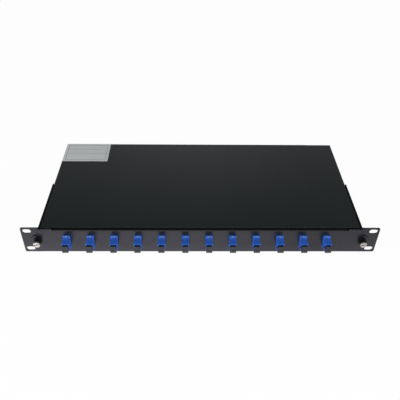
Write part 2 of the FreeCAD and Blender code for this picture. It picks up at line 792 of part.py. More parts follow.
# Inside each adapter: a plate across the middle carries a barrel and four latch arms
def make_sleeve_holders():
    body = new_body("sleeve_holders")
    x = adapter_first_x
    middle = holder_middle_y
    half = holder_thickness / 2
    latch_z = mouth_height / 2 - small_gap / 2

    def latches(draw):
        for sign in (-1, 1):
            draw.rectangle(x - latch_width / 2, (latch_z - latch_thickness) * sign,
                           x + latch_width / 2, latch_z * sign)

    parts = [add(body, "XZ_Plane", middle - half, middle + half, lambda draw: draw.centred(
        mouth_width - small_gap, mouth_height - small_gap, x))]
    parts.append(add(body, "XZ_Plane", middle - barrel_length / 2, middle + barrel_length / 2,
                     lambda draw: draw.circle(x, 0, barrel_radius)))
    parts.append(add(body, "XZ_Plane", middle - latch_reach, middle + latch_reach, latches))
    parts.append(cut(body, "XZ_Plane", middle - barrel_length / 2, middle + barrel_length / 2,
                     lambda draw: draw.circle(x, 0, sleeve_radius + small_gap / 2)))
    repeat(body, parts, "H_Axis", adapter_pitch, adapter_count)
    return body


def make_ceramic_sleeves():
    body = new_body("ceramic_sleeves")
    x = adapter_first_x
    start = holder_middle_y - sleeve_length / 2
    end = holder_middle_y + sleeve_length / 2

    def tube(draw):
        draw.circle(x, 0, sleeve_radius)
        draw.circle(x, 0, sleeve_bore)

    ring = add(body, "XZ_Plane", start, end, tube)
    slit = cut(body, "XZ_Plane", start, end, lambda draw: draw.rectangle(
        x - sleeve_slit / 2, 0, x + sleeve_slit / 2, sleeve_radius * 2))
    repeat(body, [ring, slit], "H_Axis", adapter_pitch, adapter_count)
    return body


def cap_features(body, x, mouth_y, outward):
    """Plug, neck and grooved head of a dust cap that closes a mouth; outward is -1 at the front."""
    plug_height = mouth_height - latch_thickness * 2 - small_gap * 4
    plug_width = mouth_width - small_gap * 2
    neck_height = mouth_height - small_gap * 2

    def between(first, last):
        return (first, last) if first.value < last.value else (last, first)

    head_y = mouth_y + cap_neck * outward
    tip_y = head_y + cap_head_thickness * outward
    inner_y = mouth_y - cap_entry * outward
    plug_y = inner_y - cap_plug_depth * outward

    parts = [add(body, "XZ_Plane", *between(inner_y, head_y),
                 lambda draw: draw.centred(plug_width, neck_height, x))]
    parts.append(add(body, "XZ_Plane", *between(plug_y, inner_y),
                     lambda draw: draw.centred(plug_width, plug_height, x)))
    parts.append(add(body, "XZ_Plane", *between(head_y, tip_y),
                     lambda draw: draw.centred(cap_head_width, cap_head_height, x)))
    parts.append(cut(body, "XZ_Plane", *between(plug_y, mouth_y), lambda draw: draw.circle(
        x, 0, barrel_radius + cap_bore_gap)))

    def grooves(draw):
        for sign in (-1, 1):
            draw.centred(cap_head_width, groove_height, x, groove_spacing / 2 * sign)

    parts.append(cut(body, "XZ_Plane", *between(tip_y, tip_y - groove_depth * outward), grooves))
    return parts


def make_dust_cap(number):
    body = new_body(f"dust_cap_{number + 1:02d}", adapter_first_x + adapter_pitch * number)
    cap_features(body, 0, rim_y, -1)
    soften(body, "Fillet", cap_head_corner, edges(
        body, "y", lambda p: near(abs(p.z), cap_head_height / 2)))
    return body


def make_rear_caps():
    body = new_body("rear_caps")
    parts = cap_features(body, adapter_first_x, rear_rim_y, 1)
    repeat(body, parts, "H_Axis", adapter_pitch, adapter_count)
    return body


# Captive thumb-screw: a black collar fixed in the tongue and a slotted screw that turns in it
def make_thumb_collar(side, label):
    body = new_body(label)
    x = thumb_spacing / 2 * side
    bore = thumb_thread_radius + thumb_gap
    flange_y = plate_front_y - collar_flange_height

    tip_y = plate_front_y - collar_length
    add(body, "XZ_Plane", tip_y, flange_y, lambda draw: draw.circle(x, 0, collar_radius))
    add(body, "XZ_Plane", flange_y, plate_front_y, lambda draw: draw.circle(x, 0, collar_flange_radius))
    add(body, "XZ_Plane", plate_front_y, plate_back_y, lambda draw: draw.circle(x, 0, collar_shank_radius))
    cut(body, "XZ_Plane", tip_y, plate_back_y, lambda draw: draw.circle(x, 0, bore))
    return body


def make_thumb_screw(side, label):
    body = new_body(label, thumb_spacing / 2 * side)
    head_y = plate_front_y - collar_length - thumb_gap
    face_y = head_y - thumb_head_height
    add(body, "XZ_Plane", face_y, head_y, lambda draw: draw.circle(0, 0, thumb_head_radius))
    rim = [f"Edge{n}" for n, edge in enumerate(body.Tip.Shape.Edges, 1)
           if edge.Curve.TypeId == "Part::GeomCircle" and near(edge.CenterOfMass.y, face_y)]
    soften(body, "Chamfer", thumb_edge, rim)
    add(body, "XZ_Plane", head_y, thumb_thread_reach, lambda draw: draw.circle(0, 0, thumb_thread_radius))
    lean = thumb_slot_tilt.value
    run = FreeCAD.Vector(math.cos(math.radians(lean)), math.sin(math.radians(lean)), 0)

    def driver_slot(draw):
        reach = thumb_head_radius * 1.2
        half = thumb_slot_width / 2
        draw.polygon([(reach * (run.x * a) - half * (run.y * b), reach * (run.y * a) + half * (run.x * b))
                      for a, b in ((-1, -1), (1, -1), (1, 1), (-1, 1))])

    cut(body, "XZ_Plane", face_y, face_y + thumb_slot_depth, driver_slot)
    return body


# Splice cassette on the tray floor, with its lid, splice comb and screws
def make_splice_cassette():
    body = new_body("splice_cassette")
    top = tray_floor_z + cassette_height
    base = tray_floor_z + cassette_wall

    def outline(draw):
        draw.rounded(cassette_length, cassette_width, 0, cassette_middle, cassette_corner)

    def hollow(draw):
        draw.rounded(cassette_length - cassette_wall * 2, cassette_width - cassette_wall * 2,
                     0, cassette_middle, cassette_corner - cassette_wall)

    def mouths(draw):
        for side in (-1, 1):
            draw.rectangle((cassette_length / 2 - cassette_wall) * side, cassette_middle - cassette_corner,
                           cassette_length / 2 * side, cassette_middle + cassette_corner)

    def screw_holes(draw):
        for side in (-1, 1):
            draw.circle(cassette_screw_spacing / 2 * side, cassette_middle,
                        cassette_screw_radius + small_gap)

    add(body, "XY_Plane", tray_floor_z, top, outline)
    cut(body, "XY_Plane", base, top, hollow)
    cut(body, "XY_Plane", base, top, mouths)
    cut(body, "XY_Plane", tray_floor_z, base, screw_holes)
    return body


def make_cassette_lid():
    body = new_body("cassette_lid")
    start = tray_floor_z + cassette_height
    add(body, "XY_Plane", start, start + lid_thickness, lambda draw: draw.rounded(
        cassette_length, cassette_width, 0, cassette_middle, cassette_corner))
    return body


def make_splice_comb():
    body = new_body("splice_comb")
    start = tray_floor_z + cassette_wall
    first = cassette_middle - comb_pitch * (comb_grooves - 1) / 2
    add(body, "XY_Plane", start, start + comb_height,
        lambda draw: draw.centred(comb_length, comb_width, 0, cassette_middle))
    groove = cut(body, "XY_Plane", start + comb_height - comb_groove, start + comb_height,
                 lambda draw: draw.centred(comb_length, comb_groove, 0, first))
    repeat(body, [groove], "V_Axis", comb_pitch, comb_grooves)
    return body


def make_cassette_screws():
    body = new_body("cassette_screws")
    seat = tray_floor_z + cassette_wall

    def pair(radius):
        def draw_pair(draw):
            for side in (-1, 1):
                draw.circle(cassette_screw_spacing / 2 * side, cassette_middle, radius)
        return draw_pair

    add(body, "XY_Plane", tray_bottom_z, seat, pair(cassette_screw_radius))
    add(body, "XY_Plane", seat, seat + cassette_screw_head_height, pair(cassette_screw_head))
    return body


# Spools on the floor keep the coiled fibre above its smallest bend
def make_slack_spools():
    body = new_body("slack_spools")
    rim_z = tray_floor_z + spool_height

    def posts(radius):
        def draw_posts(draw):
            for across in (-1, 1):
                for along in (-1, 1):
                    draw.circle(spool_spacing_x / 2 * across,
                                cassette_middle + spool_spacing_y / 2 * along, radius)
        return draw_posts

    add(body, "XY_Plane", tray_floor_z, rim_z, posts(spool_radius))
    add(body, "XY_Plane", rim_z, rim_z + spool_rim_height, posts(spool_rim_radius))
    return body


# Rubber cable entry: a neck through the entry plate, with a collar on each side
def make_grommet(side, label):
    body = new_body(label)
    x = entry_x * side
    start = entry_y - grommet_collar
    end = fold_y + grommet_collar
    neck = entry_hole_radius - small_gap

    add(body, "XZ_Plane", start, entry_y, lambda draw: draw.circle(x, entry_z, grommet_radius))
    add(body, "XZ_Plane", entry_y, fold_y, lambda draw: draw.circle(x, entry_z, neck))
    add(body, "XZ_Plane", fold_y, end, lambda draw: draw.circle(x, entry_z, grommet_radius))
    cut(body, "XZ_Plane", start, end, lambda draw: draw.circle(x, entry_z, grommet_bore))
    return body


# Put the panel together
HANDS = ((-1, "left"), (1, "right"))
pieces = [make_case_shell(), make_case_bottom(), make_ear_screws(), make_ear_nuts(), make_drawer_tray()]
for hand, word in HANDS:
    pieces.append(make_ear(hand, f"ear_{word}"))
    pieces.append(make_rail(hand, f"rail_{word}"))
    pieces.append(make_runner(hand, f"runner_{word}"))
    pieces.append(make_thumb_collar(hand, f"thumb_collar_{word}"))
    pieces.append(make_thumb_screw(hand, f"thumb_screw_{word}"))
    pieces.append(make_entry_plate(hand, f"entry_plate_{word}"))
    pieces.append(make_grommet(hand, f"grommet_{word}"))
rail_face = case_inner - rail_sheet
pieces.append(make_rail_rivets("rail_rivets", case_half, rail_face, rail_face - rivet_head_height))
runner_face = tray_half + rail_sheet
pieces.append(make_rail_rivets("runner_rivets", tray_half - tray_sheet, runner_face,
                               runner_face + rivet_head_height))
for index in range(int(adapter_count.value)):
    pieces.append(make_adapter(index))
    pieces.append(make_dust_cap(index))
pieces += [make_adapter_screws(), make_adapter_nuts(), make_sleeve_holders(), make_ceramic_sleeves(),
           make_rear_caps(), make_splice_cassette(), make_cassette_lid(), make_splice_comb(),
           make_cassette_screws(), make_slack_spools()]

doc.recompute()

# Every object must be sound before anything is written
for item in doc.Objects:
    if "Invalid" in item.State or "Error" in item.State:
        raise RuntimeError(f"{item.Label} failed: {item.State}")
for piece in pieces:
    if piece.Shape.isNull() or not piece.Shape.isValid():
        raise RuntimeError(f"{piece.Label} has no valid shape")

os.makedirs("parts", exist_ok=True)
for piece in pieces:
    piece.Shape.exportStep(f"parts/{piece.Label}.step")
    print(piece.Label, len(piece.Shape.Solids), "solids", round(piece.Shape.Volume, 1), "mm3")
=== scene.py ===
# %% [markdown]
# # A fibre patch panel, finished in Blender
# The panel is one rack unit tall: a black sleeve with slotted ears, and a drawer that carries a row of
# blue SC adapters, each closed by a black dust cap. Its rigid pieces come ready made, at their real
# size, so this lesson is about light, paint, moulded plastic, plated metal and small added detail.

# %% Load the rigid pieces
import json
import math
from functools import partial

import bpy
from mathutils import Matrix, Vector


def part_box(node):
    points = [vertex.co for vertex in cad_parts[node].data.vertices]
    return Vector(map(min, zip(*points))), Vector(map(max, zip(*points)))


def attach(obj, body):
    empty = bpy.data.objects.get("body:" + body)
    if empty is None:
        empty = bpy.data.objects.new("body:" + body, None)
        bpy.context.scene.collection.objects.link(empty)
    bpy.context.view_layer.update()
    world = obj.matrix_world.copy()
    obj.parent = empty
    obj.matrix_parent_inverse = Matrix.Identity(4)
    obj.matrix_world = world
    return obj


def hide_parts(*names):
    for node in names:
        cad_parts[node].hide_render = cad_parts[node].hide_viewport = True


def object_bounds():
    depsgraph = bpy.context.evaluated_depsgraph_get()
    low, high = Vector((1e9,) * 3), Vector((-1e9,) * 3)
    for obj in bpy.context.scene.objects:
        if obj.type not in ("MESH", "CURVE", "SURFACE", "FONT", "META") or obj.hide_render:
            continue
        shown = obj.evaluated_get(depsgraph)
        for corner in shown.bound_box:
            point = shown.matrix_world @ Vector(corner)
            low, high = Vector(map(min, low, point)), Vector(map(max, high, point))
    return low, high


MM = 0.001

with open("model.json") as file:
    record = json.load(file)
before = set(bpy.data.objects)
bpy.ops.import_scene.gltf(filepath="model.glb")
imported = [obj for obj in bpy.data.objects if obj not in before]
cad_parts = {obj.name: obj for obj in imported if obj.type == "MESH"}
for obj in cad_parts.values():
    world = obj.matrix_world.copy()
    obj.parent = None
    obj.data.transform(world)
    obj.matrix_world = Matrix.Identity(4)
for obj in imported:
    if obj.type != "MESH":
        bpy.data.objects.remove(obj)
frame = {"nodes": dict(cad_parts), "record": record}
nodes = frame["nodes"]
cad_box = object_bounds()
print("loaded", len(nodes), "pieces, box", [tuple(round(x, 4) for x in corner) for corner in cad_box])

scene = bpy.context.scene
scene.view_settings.view_transform = "Standard"

# %% [markdown]
# ## The camera
# The photograph looks down on the panel from the front, a little to the left of its middle. The place
# and angles below come from fitting a pinhole camera to the corners of the sleeve and the ears, so the
# render and the photograph can be laid on each other.

# %% Set up the camera
CAMERA_PLACE = Vector((-13.98, -499.91, 483.25)) * MM
CAMERA_TURN = math.radians(-1.35)
CAMERA_DIP = math.radians(39.592)
CAMERA_ROLL = math.radians(0.984)
SENSOR_WIDTH = 36.0
LENS = 45.75

camera_data = bpy.data.cameras.new("camera")
camera_data.sensor_width = SENSOR_WIDTH
camera_data.lens = LENS
camera = bpy.data.objects.new("camera", camera_data)
scene.collection.objects.link(camera)
aim = (Matrix.Rotation(CAMERA_TURN, 3, "Z")
       @ Matrix.Rotation(math.pi / 2 - CAMERA_DIP, 3, "X")
       @ Matrix.Rotation(CAMERA_ROLL, 3, "Z"))
camera.matrix_world = Matrix.Translation(CAMERA_PLACE) @ aim.to_4x4()
scene.camera = camera
print("camera", round(CAMERA_PLACE.length, 3), "m from the rack plane's middle")

# %% [markdown]
# ## Node trees from short lines
# Every finish below is a node tree, and so are the screws. Written out link by link, a tree hides its
# idea under the wiring. Three helpers keep the cells short: one adds a node and sets its properties and
# inputs, one is a step of arithmetic, and one starts a group with named sockets.


# %% Helpers: nodes and groups
def add_node(tree, kind, inputs=None, **props):
    """Add a node, set its properties, and set or link its inputs by name or number."""
    node = tree.nodes.new(kind)
    for name, value in props.items():
        setattr(node, name, value)
    for name, value in (inputs or {}).items():
        if isinstance(value, bpy.types.NodeSocket):
            tree.links.new(value, node.inputs[name])
        else:
            node.inputs[name].default_value = value
    return node


def math_node(tree, operation, first, second=0.0, clamp=False):
    """One step of arithmetic, on sockets or plain numbers."""
    node = add_node(tree, "ShaderNodeMath", {0: first, 1: second}, operation=operation, use_clamp=clamp)
    return node.outputs["Value"]


SOCKET_KINDS = {float: "NodeSocketFloat", int: "NodeSocketInt"}


def new_group(name, kind, inputs, outputs):
    """A node group with named sockets: inputs map a name to its usual value or a socket type."""
    group = bpy.data.node_groups.new(name, kind)
    for label, value in inputs.items():
        plain = SOCKET_KINDS.get(type(value))
        socket = group.interface.new_socket(label, in_out="INPUT", socket_type=plain or value)
        if plain:
            socket.default_value = value
    for label, socket_kind in outputs.items():
        group.interface.new_socket(label, in_out="OUTPUT", socket_type=socket_kind)
    return group, group.nodes.new("NodeGroupInput").outputs, group.nodes.new("NodeGroupOutput").inputs


# %% [markdown]
# ## Shared effect: soft edges
# Folded sheet, mouldings and turned parts never have knife-sharp edges. A true bevel on every small edge
# would cost many faces, so the Bevel node is asked for a rounded normal instead. How far that normal
# leans away from the flat one also gives a mask of the edges, where a finish gets a painted highlight.

# %% Group: soft edges
EDGE_SAMPLES = 6
edge_group, edge_in, edge_out = new_group(
    "soft_edges", "ShaderNodeTree", {"Radius": 0.4 * MM, "Reach": 0.15},
    {"Normal": "NodeSocketVector", "Edge": "NodeSocketFloat"})
rounded = add_node(edge_group, "ShaderNodeBevel", {"Radius": edge_in["Radius"]}, samples=EDGE_SAMPLES)
flat_normal = add_node(edge_group, "ShaderNodeNewGeometry")
lean = add_node(edge_group, "ShaderNodeVectorMath", {
    0: rounded.outputs["Normal"], 1: flat_normal.outputs["Normal"]}, operation="DOT_PRODUCT")
turned = math_node(edge_group, "SUBTRACT", 1.0, lean.outputs["Value"])
strength = math_node(edge_group, "DIVIDE", turned, edge_in["Reach"], clamp=True)
edge_group.links.new(rounded.outputs["Normal"], edge_out["Normal"])
edge_group.links.new(strength, edge_out["Edge"])
print("group", edge_group.name, len(edge_group.nodes), "nodes")

# %% [markdown]
# ## Shared effect: fine grain
# Powder coat and moulded skin have a grain that is felt more than seen. Two noises give it: a fine one
# as a height for a Bump node, and a broad one that nudges colour and roughness. Both read Object
# coordinates, so the grain keeps its real scale and stays fixed to the piece when it moves.

# %% Group: fine grain
FINE_DETAIL = 3.0
FINE_ROUGHNESS = 0.55
CLOUD_DETAIL = 4.0
grain_group, grain_in, grain_out = new_group(
    "fine_grain", "ShaderNodeTree", {"Grain Scale": 1400.0, "Cloud Scale": 30.0},
    {"Height": "NodeSocketFloat", "Mottle": "NodeSocketFloat"})
place = add_node(grain_group, "ShaderNodeTexCoord")
fine = add_node(grain_group, "ShaderNodeTexNoise", {
    "Vector": place.outputs["Object"], "Scale": grain_in["Grain Scale"],
    "Detail": FINE_DETAIL, "Roughness": FINE_ROUGHNESS})
cloud = add_node(grain_group, "ShaderNodeTexNoise", {
    "Vector": place.outputs["Object"], "Scale": grain_in["Cloud Scale"], "Detail": CLOUD_DETAIL})
grain_group.links.new(fine.outputs["Fac"], grain_out["Height"])
grain_group.links.new(cloud.outputs["Fac"], grain_out["Mottle"])
print("group", grain_group.name, len(grain_group.nodes), "nodes")

# %% [markdown]
# ## Shared effect: painted shade in hollows
# Paint and skin are painted darker where little light gets in, as painted shade. Such places could be
# painted by hand, piece by piece. Ambient Occlusion finds them by itself, on every piece alike.

# %% Group: painted shade in hollows
NOOK_SAMPLES = 8
hollow_shade_group, hollow_shade_in, hollow_shade_out = new_group(
    "hollow_shade", "ShaderNodeTree", {"Reach": 4.0 * MM}, {"Depth": "NodeSocketFloat"})
# Painted shade: one minus Ambient Occlusion says how far a point lies in shade
occluded = add_node(
    hollow_shade_group, "ShaderNodeAmbientOcclusion", {"Distance": hollow_shade_in["Reach"]}, samples=NOOK_SAMPLES)
depth = math_node(hollow_shade_group, "SUBTRACT", 1.0, occluded.outputs["AO"])
hollow_shade_group.links.new(depth, hollow_shade_out["Depth"])
print("group", hollow_shade_group.name, len(hollow_shade_group.nodes), "nodes")

# %% [markdown]
# ## One recipe for grained surfaces
# Paint, plastic, rubber and plated steel all share a skeleton: a colour that wavers a little, gets
# lighter along the edges as a painted highlight with a little wear, and darker in hollows as painted
# shade, a roughness that wavers with it, and a bump from the grain over the softened edges. One
# function builds that skeleton and each finish gives it its own values, so all the finishes can be
# tuned in the same way.

# %% Helpers: materials
# Sockets of the Mix node that belong to colours; those of numbers and vectors lie between them
MIX_FACTOR = 0
MIX_FIRST = 6
MIX_SECOND = 7
MIX_RESULT = 2


def mix_colours(tree, factor, first, second):
    """Go from the first colour to the second as the factor goes from 0 to 1."""
    mix = add_node(tree, "ShaderNodeMix", {
        MIX_FACTOR: factor, MIX_FIRST: first, MIX_SECOND: second}, data_type="RGBA")
    return mix.outputs[MIX_RESULT]


def ramp_node(tree, value, low, high, to_low=0.0, to_high=1.0, smooth=False):
    """Map a value from one range to another, and clamp it there."""
    shape = "SMOOTHSTEP" if smooth else "LINEAR"
    return add_node(tree, "ShaderNodeMapRange", {
        "Value": value, "From Min": low, "From Max": high, "To Min": to_low, "To Max": to_high},
        interpolation_type=shape).outputs["Result"]


def new_material(name, **sockets):
    """A material with one Principled shader; plain numbers and colours go on its own sockets."""
    material = bpy.data.materials.new(name)
    material.use_nodes = True
    shader = material.node_tree.nodes["Principled BSDF"]
    for socket, value in sockets.items():
        shader.inputs[socket.replace("_", " ")].default_value = value
    return material, material.node_tree, shader


def place_group(tree, group, **values):
    """Put a group into a material, with this material's own values."""
    node = add_node(tree, "ShaderNodeGroup", node_tree=group)
    for label, value in values.items():
        node.inputs[label.replace("_", " ")].default_value = value
    return node


# %% Recipe: grained surface
MOTTLE_LOW = 0.3
MOTTLE_HIGH = 0.7
EDGE_SHARE = 0.5
PAINTED_SHADE_TONE = 0.25
BUMP_DEPTH = 0.04 * MM


# The edge colour is a painted highlight along the edges, with a little wear; the shade share and reach set
# the painted shade in hollows.
def grained(name, dark, light, edge_highlight_colour, rough, grain=1400.0, cloud=30.0, bump=0.1,
            edge_radius=0.4 * MM, painted_shade=0.5, painted_shade_reach=4.0 * MM, **sockets):
    """dark and light are the ends of the mottled colour; rough is the lowest and highest roughness."""
    material, tree, shader = new_material(name, **sockets)
    grains = place_group(tree, grain_group, Grain_Scale=grain, Cloud_Scale=cloud)
    edges = place_group(tree, edge_group, Radius=edge_radius)
    hollow_shade = place_group(tree, hollow_shade_group, Reach=painted_shade_reach)
    mottle = grains.outputs["Mottle"]
    colour = mix_colours(
        tree, ramp_node(tree, mottle, MOTTLE_LOW, MOTTLE_HIGH), (*dark, 1.0), (*light, 1.0))
    # Painted highlight, with a little wear: the edge mask mixes the colour towards the paler edge colour
    edge_wear_and_highlight = math_node(tree, "MULTIPLY", edges.outputs["Edge"], EDGE_SHARE)
    colour = mix_colours(tree, edge_wear_and_highlight, colour, (*edge_highlight_colour, 1.0))
    # Painted shade: where Ambient Occlusion finds a hollow, the colour darkens towards a quarter of the
    # dark colour
    shade = math_node(tree, "MULTIPLY", hollow_shade.outputs["Depth"], painted_shade)
    shade_tone = tuple(channel * PAINTED_SHADE_TONE for channel in dark)
    colour = mix_colours(tree, shade, colour, (*shade_tone, 1.0))
    tree.links.new(colour, shader.inputs["Base Color"])
    roughness = ramp_node(tree, mottle, MOTTLE_LOW, MOTTLE_HIGH, *rough)
    tree.links.new(roughness, shader.inputs["Roughness"])
    relief = add_node(tree, "ShaderNodeBump", {
        "Height": grains.outputs["Height"], "Normal": edges.outputs["Normal"],
        "Strength": bump, "Distance": BUMP_DEPTH})
    tree.links.new(relief.outputs["Normal"], shader.inputs["Normal"])
    return material


finishes = {}

# %% [markdown]
# ## Black powder coat
# Sleeve, ears and drawer are powder coated black, with enough gloss to mirror the white table as a soft
# grey veil. A grey paint would look right from the front only, so the paint stays black and the table
# does the rest. The sleeve's coat is a touch greener than the front's, and shows its folds as thin pale
# lines, from the rounded normals and from a painted highlight.

# %% Finish: powder coat
finishes["case_paint"] = grained(
    "black_powder_coat", dark=(0.0084, 0.0119, 0.0118), light=(0.0094, 0.0129, 0.0128),
    edge_highlight_colour=(0.05, 0.053, 0.053), rough=(0.28, 0.3), cloud=8.0, bump=0.05, edge_radius=0.6 * MM)
finishes["drawer_paint"] = grained(
    "front_powder_coat", dark=(0.006, 0.0061, 0.0064), light=(0.0068, 0.0069, 0.0072),
    edge_highlight_colour=(0.014, 0.014, 0.015), rough=(0.26, 0.28), cloud=8.0, bump=0.05, edge_radius=0.5 * MM,
    painted_shade=0.2, Specular_IOR_Level=0.73)
print("finishes", list(finishes))

# %% [markdown]
# ## Plated metal
# The thumb-screws are nickel plated, the small screws on the adapters have yellow zinc, the slides plain
# zinc, and the screws of the ears black zinc. Plating is metal through and through, so Metallic is 1 and
# the colour tints what it mirrors. Black zinc is the exception: it is a dark skin, and gets no Metallic.

# %% Finish: plated metal
finishes["zinc_steel"] = grained(
    "zinc_plate", dark=(0.52, 0.53, 0.55), light=(0.62, 0.63, 0.64),
    edge_highlight_colour=(0.7, 0.7, 0.71), rough=(0.28, 0.42), grain=700.0, cloud=90.0, bump=0.08, Metallic=1.0)
finishes["black_screw"] = grained(
    "black_zinc", dark=(0.02, 0.02, 0.021), light=(0.03, 0.03, 0.031),
    edge_highlight_colour=(0.09, 0.09, 0.09), rough=(0.3, 0.4), cloud=120.0, bump=0.05, edge_radius=0.2 * MM)
finishes["brass_screw"] = grained(
    "yellow_zinc", dark=(0.62, 0.54, 0.38), light=(0.72, 0.64, 0.48),
    edge_highlight_colour=(0.8, 0.75, 0.62), rough=(0.25, 0.4), cloud=200.0, bump=0.05, edge_radius=0.2 * MM,
    painted_shade=0.3, painted_shade_reach=1.0 * MM, Metallic=1.0)
finishes["thumb_metal"] = grained(
    "nickel_plate", dark=(0.86, 0.79, 0.64), light=(0.92, 0.85, 0.7),
    edge_highlight_colour=(0.95, 0.89, 0.78), rough=(0.2, 0.32), grain=1800.0, cloud=160.0, bump=0.06,
    edge_radius=0.2 * MM, painted_shade=1.0, painted_shade_reach=2.0 * MM, Metallic=1.0)
print("finishes", list(finishes))

# %% [markdown]
# ## Mouldings
# Adapters are moulded in blue with a satin skin, caps and collars in black, and the splice cassette in
# grey. Inside an adapter are a white holder and a sleeve of polished ceramic. All are one material
# through and through, so their edges are only a little paler, as a painted highlight with a little wear.

# %% Finish: mouldings and ceramic
finishes["adapter_plastic"] = grained(
    "blue_moulding", dark=(0.02, 0.091, 0.42), light=(0.024, 0.111, 0.48),
    edge_highlight_colour=(0.05, 0.23, 0.58), rough=(0.24, 0.3), grain=2600.0, cloud=140.0, bump=0.08,
    edge_radius=0.3 * MM, painted_shade=0.1)
finishes["holder_plastic"] = grained(
    "white_moulding", dark=(0.7, 0.71, 0.73), light=(0.76, 0.77, 0.78),
    edge_highlight_colour=(0.85, 0.85, 0.85), rough=(0.4, 0.5), grain=2600.0, bump=0.05, edge_radius=0.2 * MM)
finishes["ceramic"] = grained(
    "zirconia", dark=(0.82, 0.81, 0.76), light=(0.87, 0.86, 0.82),
    edge_highlight_colour=(0.9, 0.9, 0.88), rough=(0.12, 0.2), grain=3000.0, bump=0.02, edge_radius=0.1 * MM)
finishes["cap_plastic"] = grained(
    "black_moulding", dark=(0.017, 0.017, 0.017), light=(0.021, 0.021, 0.021),
    edge_highlight_colour=(0.04, 0.04, 0.04), rough=(0.26, 0.32), grain=2600.0, cloud=160.0, edge_radius=0.3 * MM,
    painted_shade=0.3, Specular_IOR_Level=0.68)
finishes["collar_plastic"] = grained(
    "collar_moulding", dark=(0.005, 0.005, 0.005), light=(0.007, 0.007, 0.007),
    edge_highlight_colour=(0.02, 0.02, 0.02), rough=(0.4, 0.5), grain=2200.0, cloud=120.0, bump=0.08,
    edge_radius=0.3 * MM, Specular_IOR_Level=0.3)
finishes["cassette_plastic"] = grained(
    "grey_moulding", dark=(0.28, 0.29, 0.3), light=(0.32, 0.33, 0.34),
    edge_highlight_colour=(0.42, 0.42, 0.42), rough=(0.42, 0.52), grain=2200.0, cloud=40.0, bump=0.08,
    edge_radius=0.5 * MM)
print("finishes", list(finishes))

# %% [markdown]
# ## Rubber and foam
# The cable entries are black rubber and the splice comb is a pale foam. Neither mirrors anything, so a
# high roughness and a stronger bump are what tells them from plastic.

# %% Finish: rubber and foam
finishes["grommet_rubber"] = grained(
    "grommet_rubber", dark=(0.012, 0.012, 0.012), light=(0.017, 0.017, 0.017),
    edge_highlight_colour=(0.03, 0.03, 0.03), rough=(0.6, 0.75), grain=1800.0, cloud=80.0, bump=0.15,
    edge_radius=0.5 * MM)
finishes["comb_rubber"] = grained(
    "foam_comb", dark=(0.4, 0.4, 0.38), light=(0.48, 0.48, 0.46),
    edge_highlight_colour=(0.52, 0.52, 0.5), rough=(0.8, 0.9), grain=900.0, cloud=200.0, bump=0.3)
print("finishes", list(finishes))

# %% [markdown]
# ## Finishes on the pieces
# The record says which finish each ready-made piece takes, so one loop can dress them all. The ears are
# the one exception: they belong to the sleeve, but their coat looks like that of the front plate beside
# them.

# %% Put the finishes on
PAINTED_LIKE_THE_FRONT = {"ear_left", "ear_right"}
for part in frame["record"]["subparts"]:
    mesh = nodes[part["node"]].data
    finish_name = "drawer_paint" if part["node"] in PAINTED_LIKE_THE_FRONT else part["material_slot"]
    mesh.materials.clear()
    mesh.materials.append(finishes[finish_name])

# %% [markdown]
# ## The table
# The panel lies on a white table that fills the picture. A plane lit to full white would also throw too
# much light on the object, so its material goes by the kind of ray. The eye sees white with a faint
# shadow. Mirrors see a cool glow that is brightest close to the panel and on the left, because that is
# what the black paint shows. All other rays meet plain chalk.

# %% Lay the table
FLOOR_SIZE = 6.0
floor_low = cad_box[0][2]
half_floor = FLOOR_SIZE / 2
floor_corners = [Vector((x * half_floor, y * half_floor, floor_low))
                 for x, y in ((-1, -1), (1, -1), (1, 1), (-1, 1))]
floor_mesh = bpy.data.meshes.new("floor")
floor_mesh.from_pydata(floor_corners, [], [(0, 1, 2, 3)])
floor = bpy.data.objects.new("floor", floor_mesh)
scene.collection.objects.link(floor)
print("floor", FLOOR_SIZE, "m wide at height", round(floor_low, 4))

# %% Finish the table
WHITE = (1.0, 1.0, 1.0, 1.0)
CHALK = (0.82, 0.82, 0.82, 1.0)
FLOOR_GLOW = 0.97
# The glow that mirrors see: from near to far along Y, and from left to right along X
POOL_NEAR = -2.0 * MM
POOL_FAR = -55.0 * MM
POOL_BRIGHT = (1.08, 1.05, 1.24, 1.0)
POOL_DIM = (0.74, 0.72, 0.84, 1.0)
POOL_LEFT = -30.0 * MM
POOL_RIGHT = 190.0 * MM
RIGHT_SHARE = 0.66

floor_material = bpy.data.materials.new("white_table")
floor_material.use_nodes = True
floor_tree = floor_material.node_tree
floor_tree.nodes.remove(floor_tree.nodes["Principled BSDF"])
chalk = add_node(floor_tree, "ShaderNodeBsdfDiffuse", {"Color": CHALK})
rays = add_node(floor_tree, "ShaderNodeLightPath").outputs
spot = add_node(floor_tree, "ShaderNodeTexCoord")
spot_axes = add_node(floor_tree, "ShaderNodeSeparateXYZ", {"Vector": spot.outputs["Object"]}).outputs
closeness = ramp_node(floor_tree, spot_axes["Y"], POOL_FAR, POOL_NEAR)
pool = mix_colours(floor_tree, closeness, POOL_DIM, POOL_BRIGHT)
shown = mix_colours(floor_tree, rays["Is Camera Ray"], pool, WHITE)
fade = ramp_node(floor_tree, spot_axes["X"], POOL_LEFT, POOL_RIGHT, 1.0, RIGHT_SHARE, smooth=True)
fade = math_node(floor_tree, "MAXIMUM", fade, rays["Is Camera Ray"])
glow = add_node(floor_tree, "ShaderNodeEmission", {"Color": shown, "Strength": fade})
seen = math_node(floor_tree, "MAXIMUM", rays["Is Camera Ray"], rays["Is Glossy Ray"])
seen = math_node(floor_tree, "MAXIMUM", seen, rays["Is Transmission Ray"])
share = math_node(floor_tree, "MULTIPLY", seen, FLOOR_GLOW)
blend = add_node(floor_tree, "ShaderNodeMixShader", {
    0: share, 1: chalk.outputs["BSDF"], 2: glow.outputs["Emission"]})
floor_tree.links.new(blend.outputs["Shader"], floor_tree.nodes["Material Output"].inputs["Surface"])
floor_mesh.materials.append(floor_material)
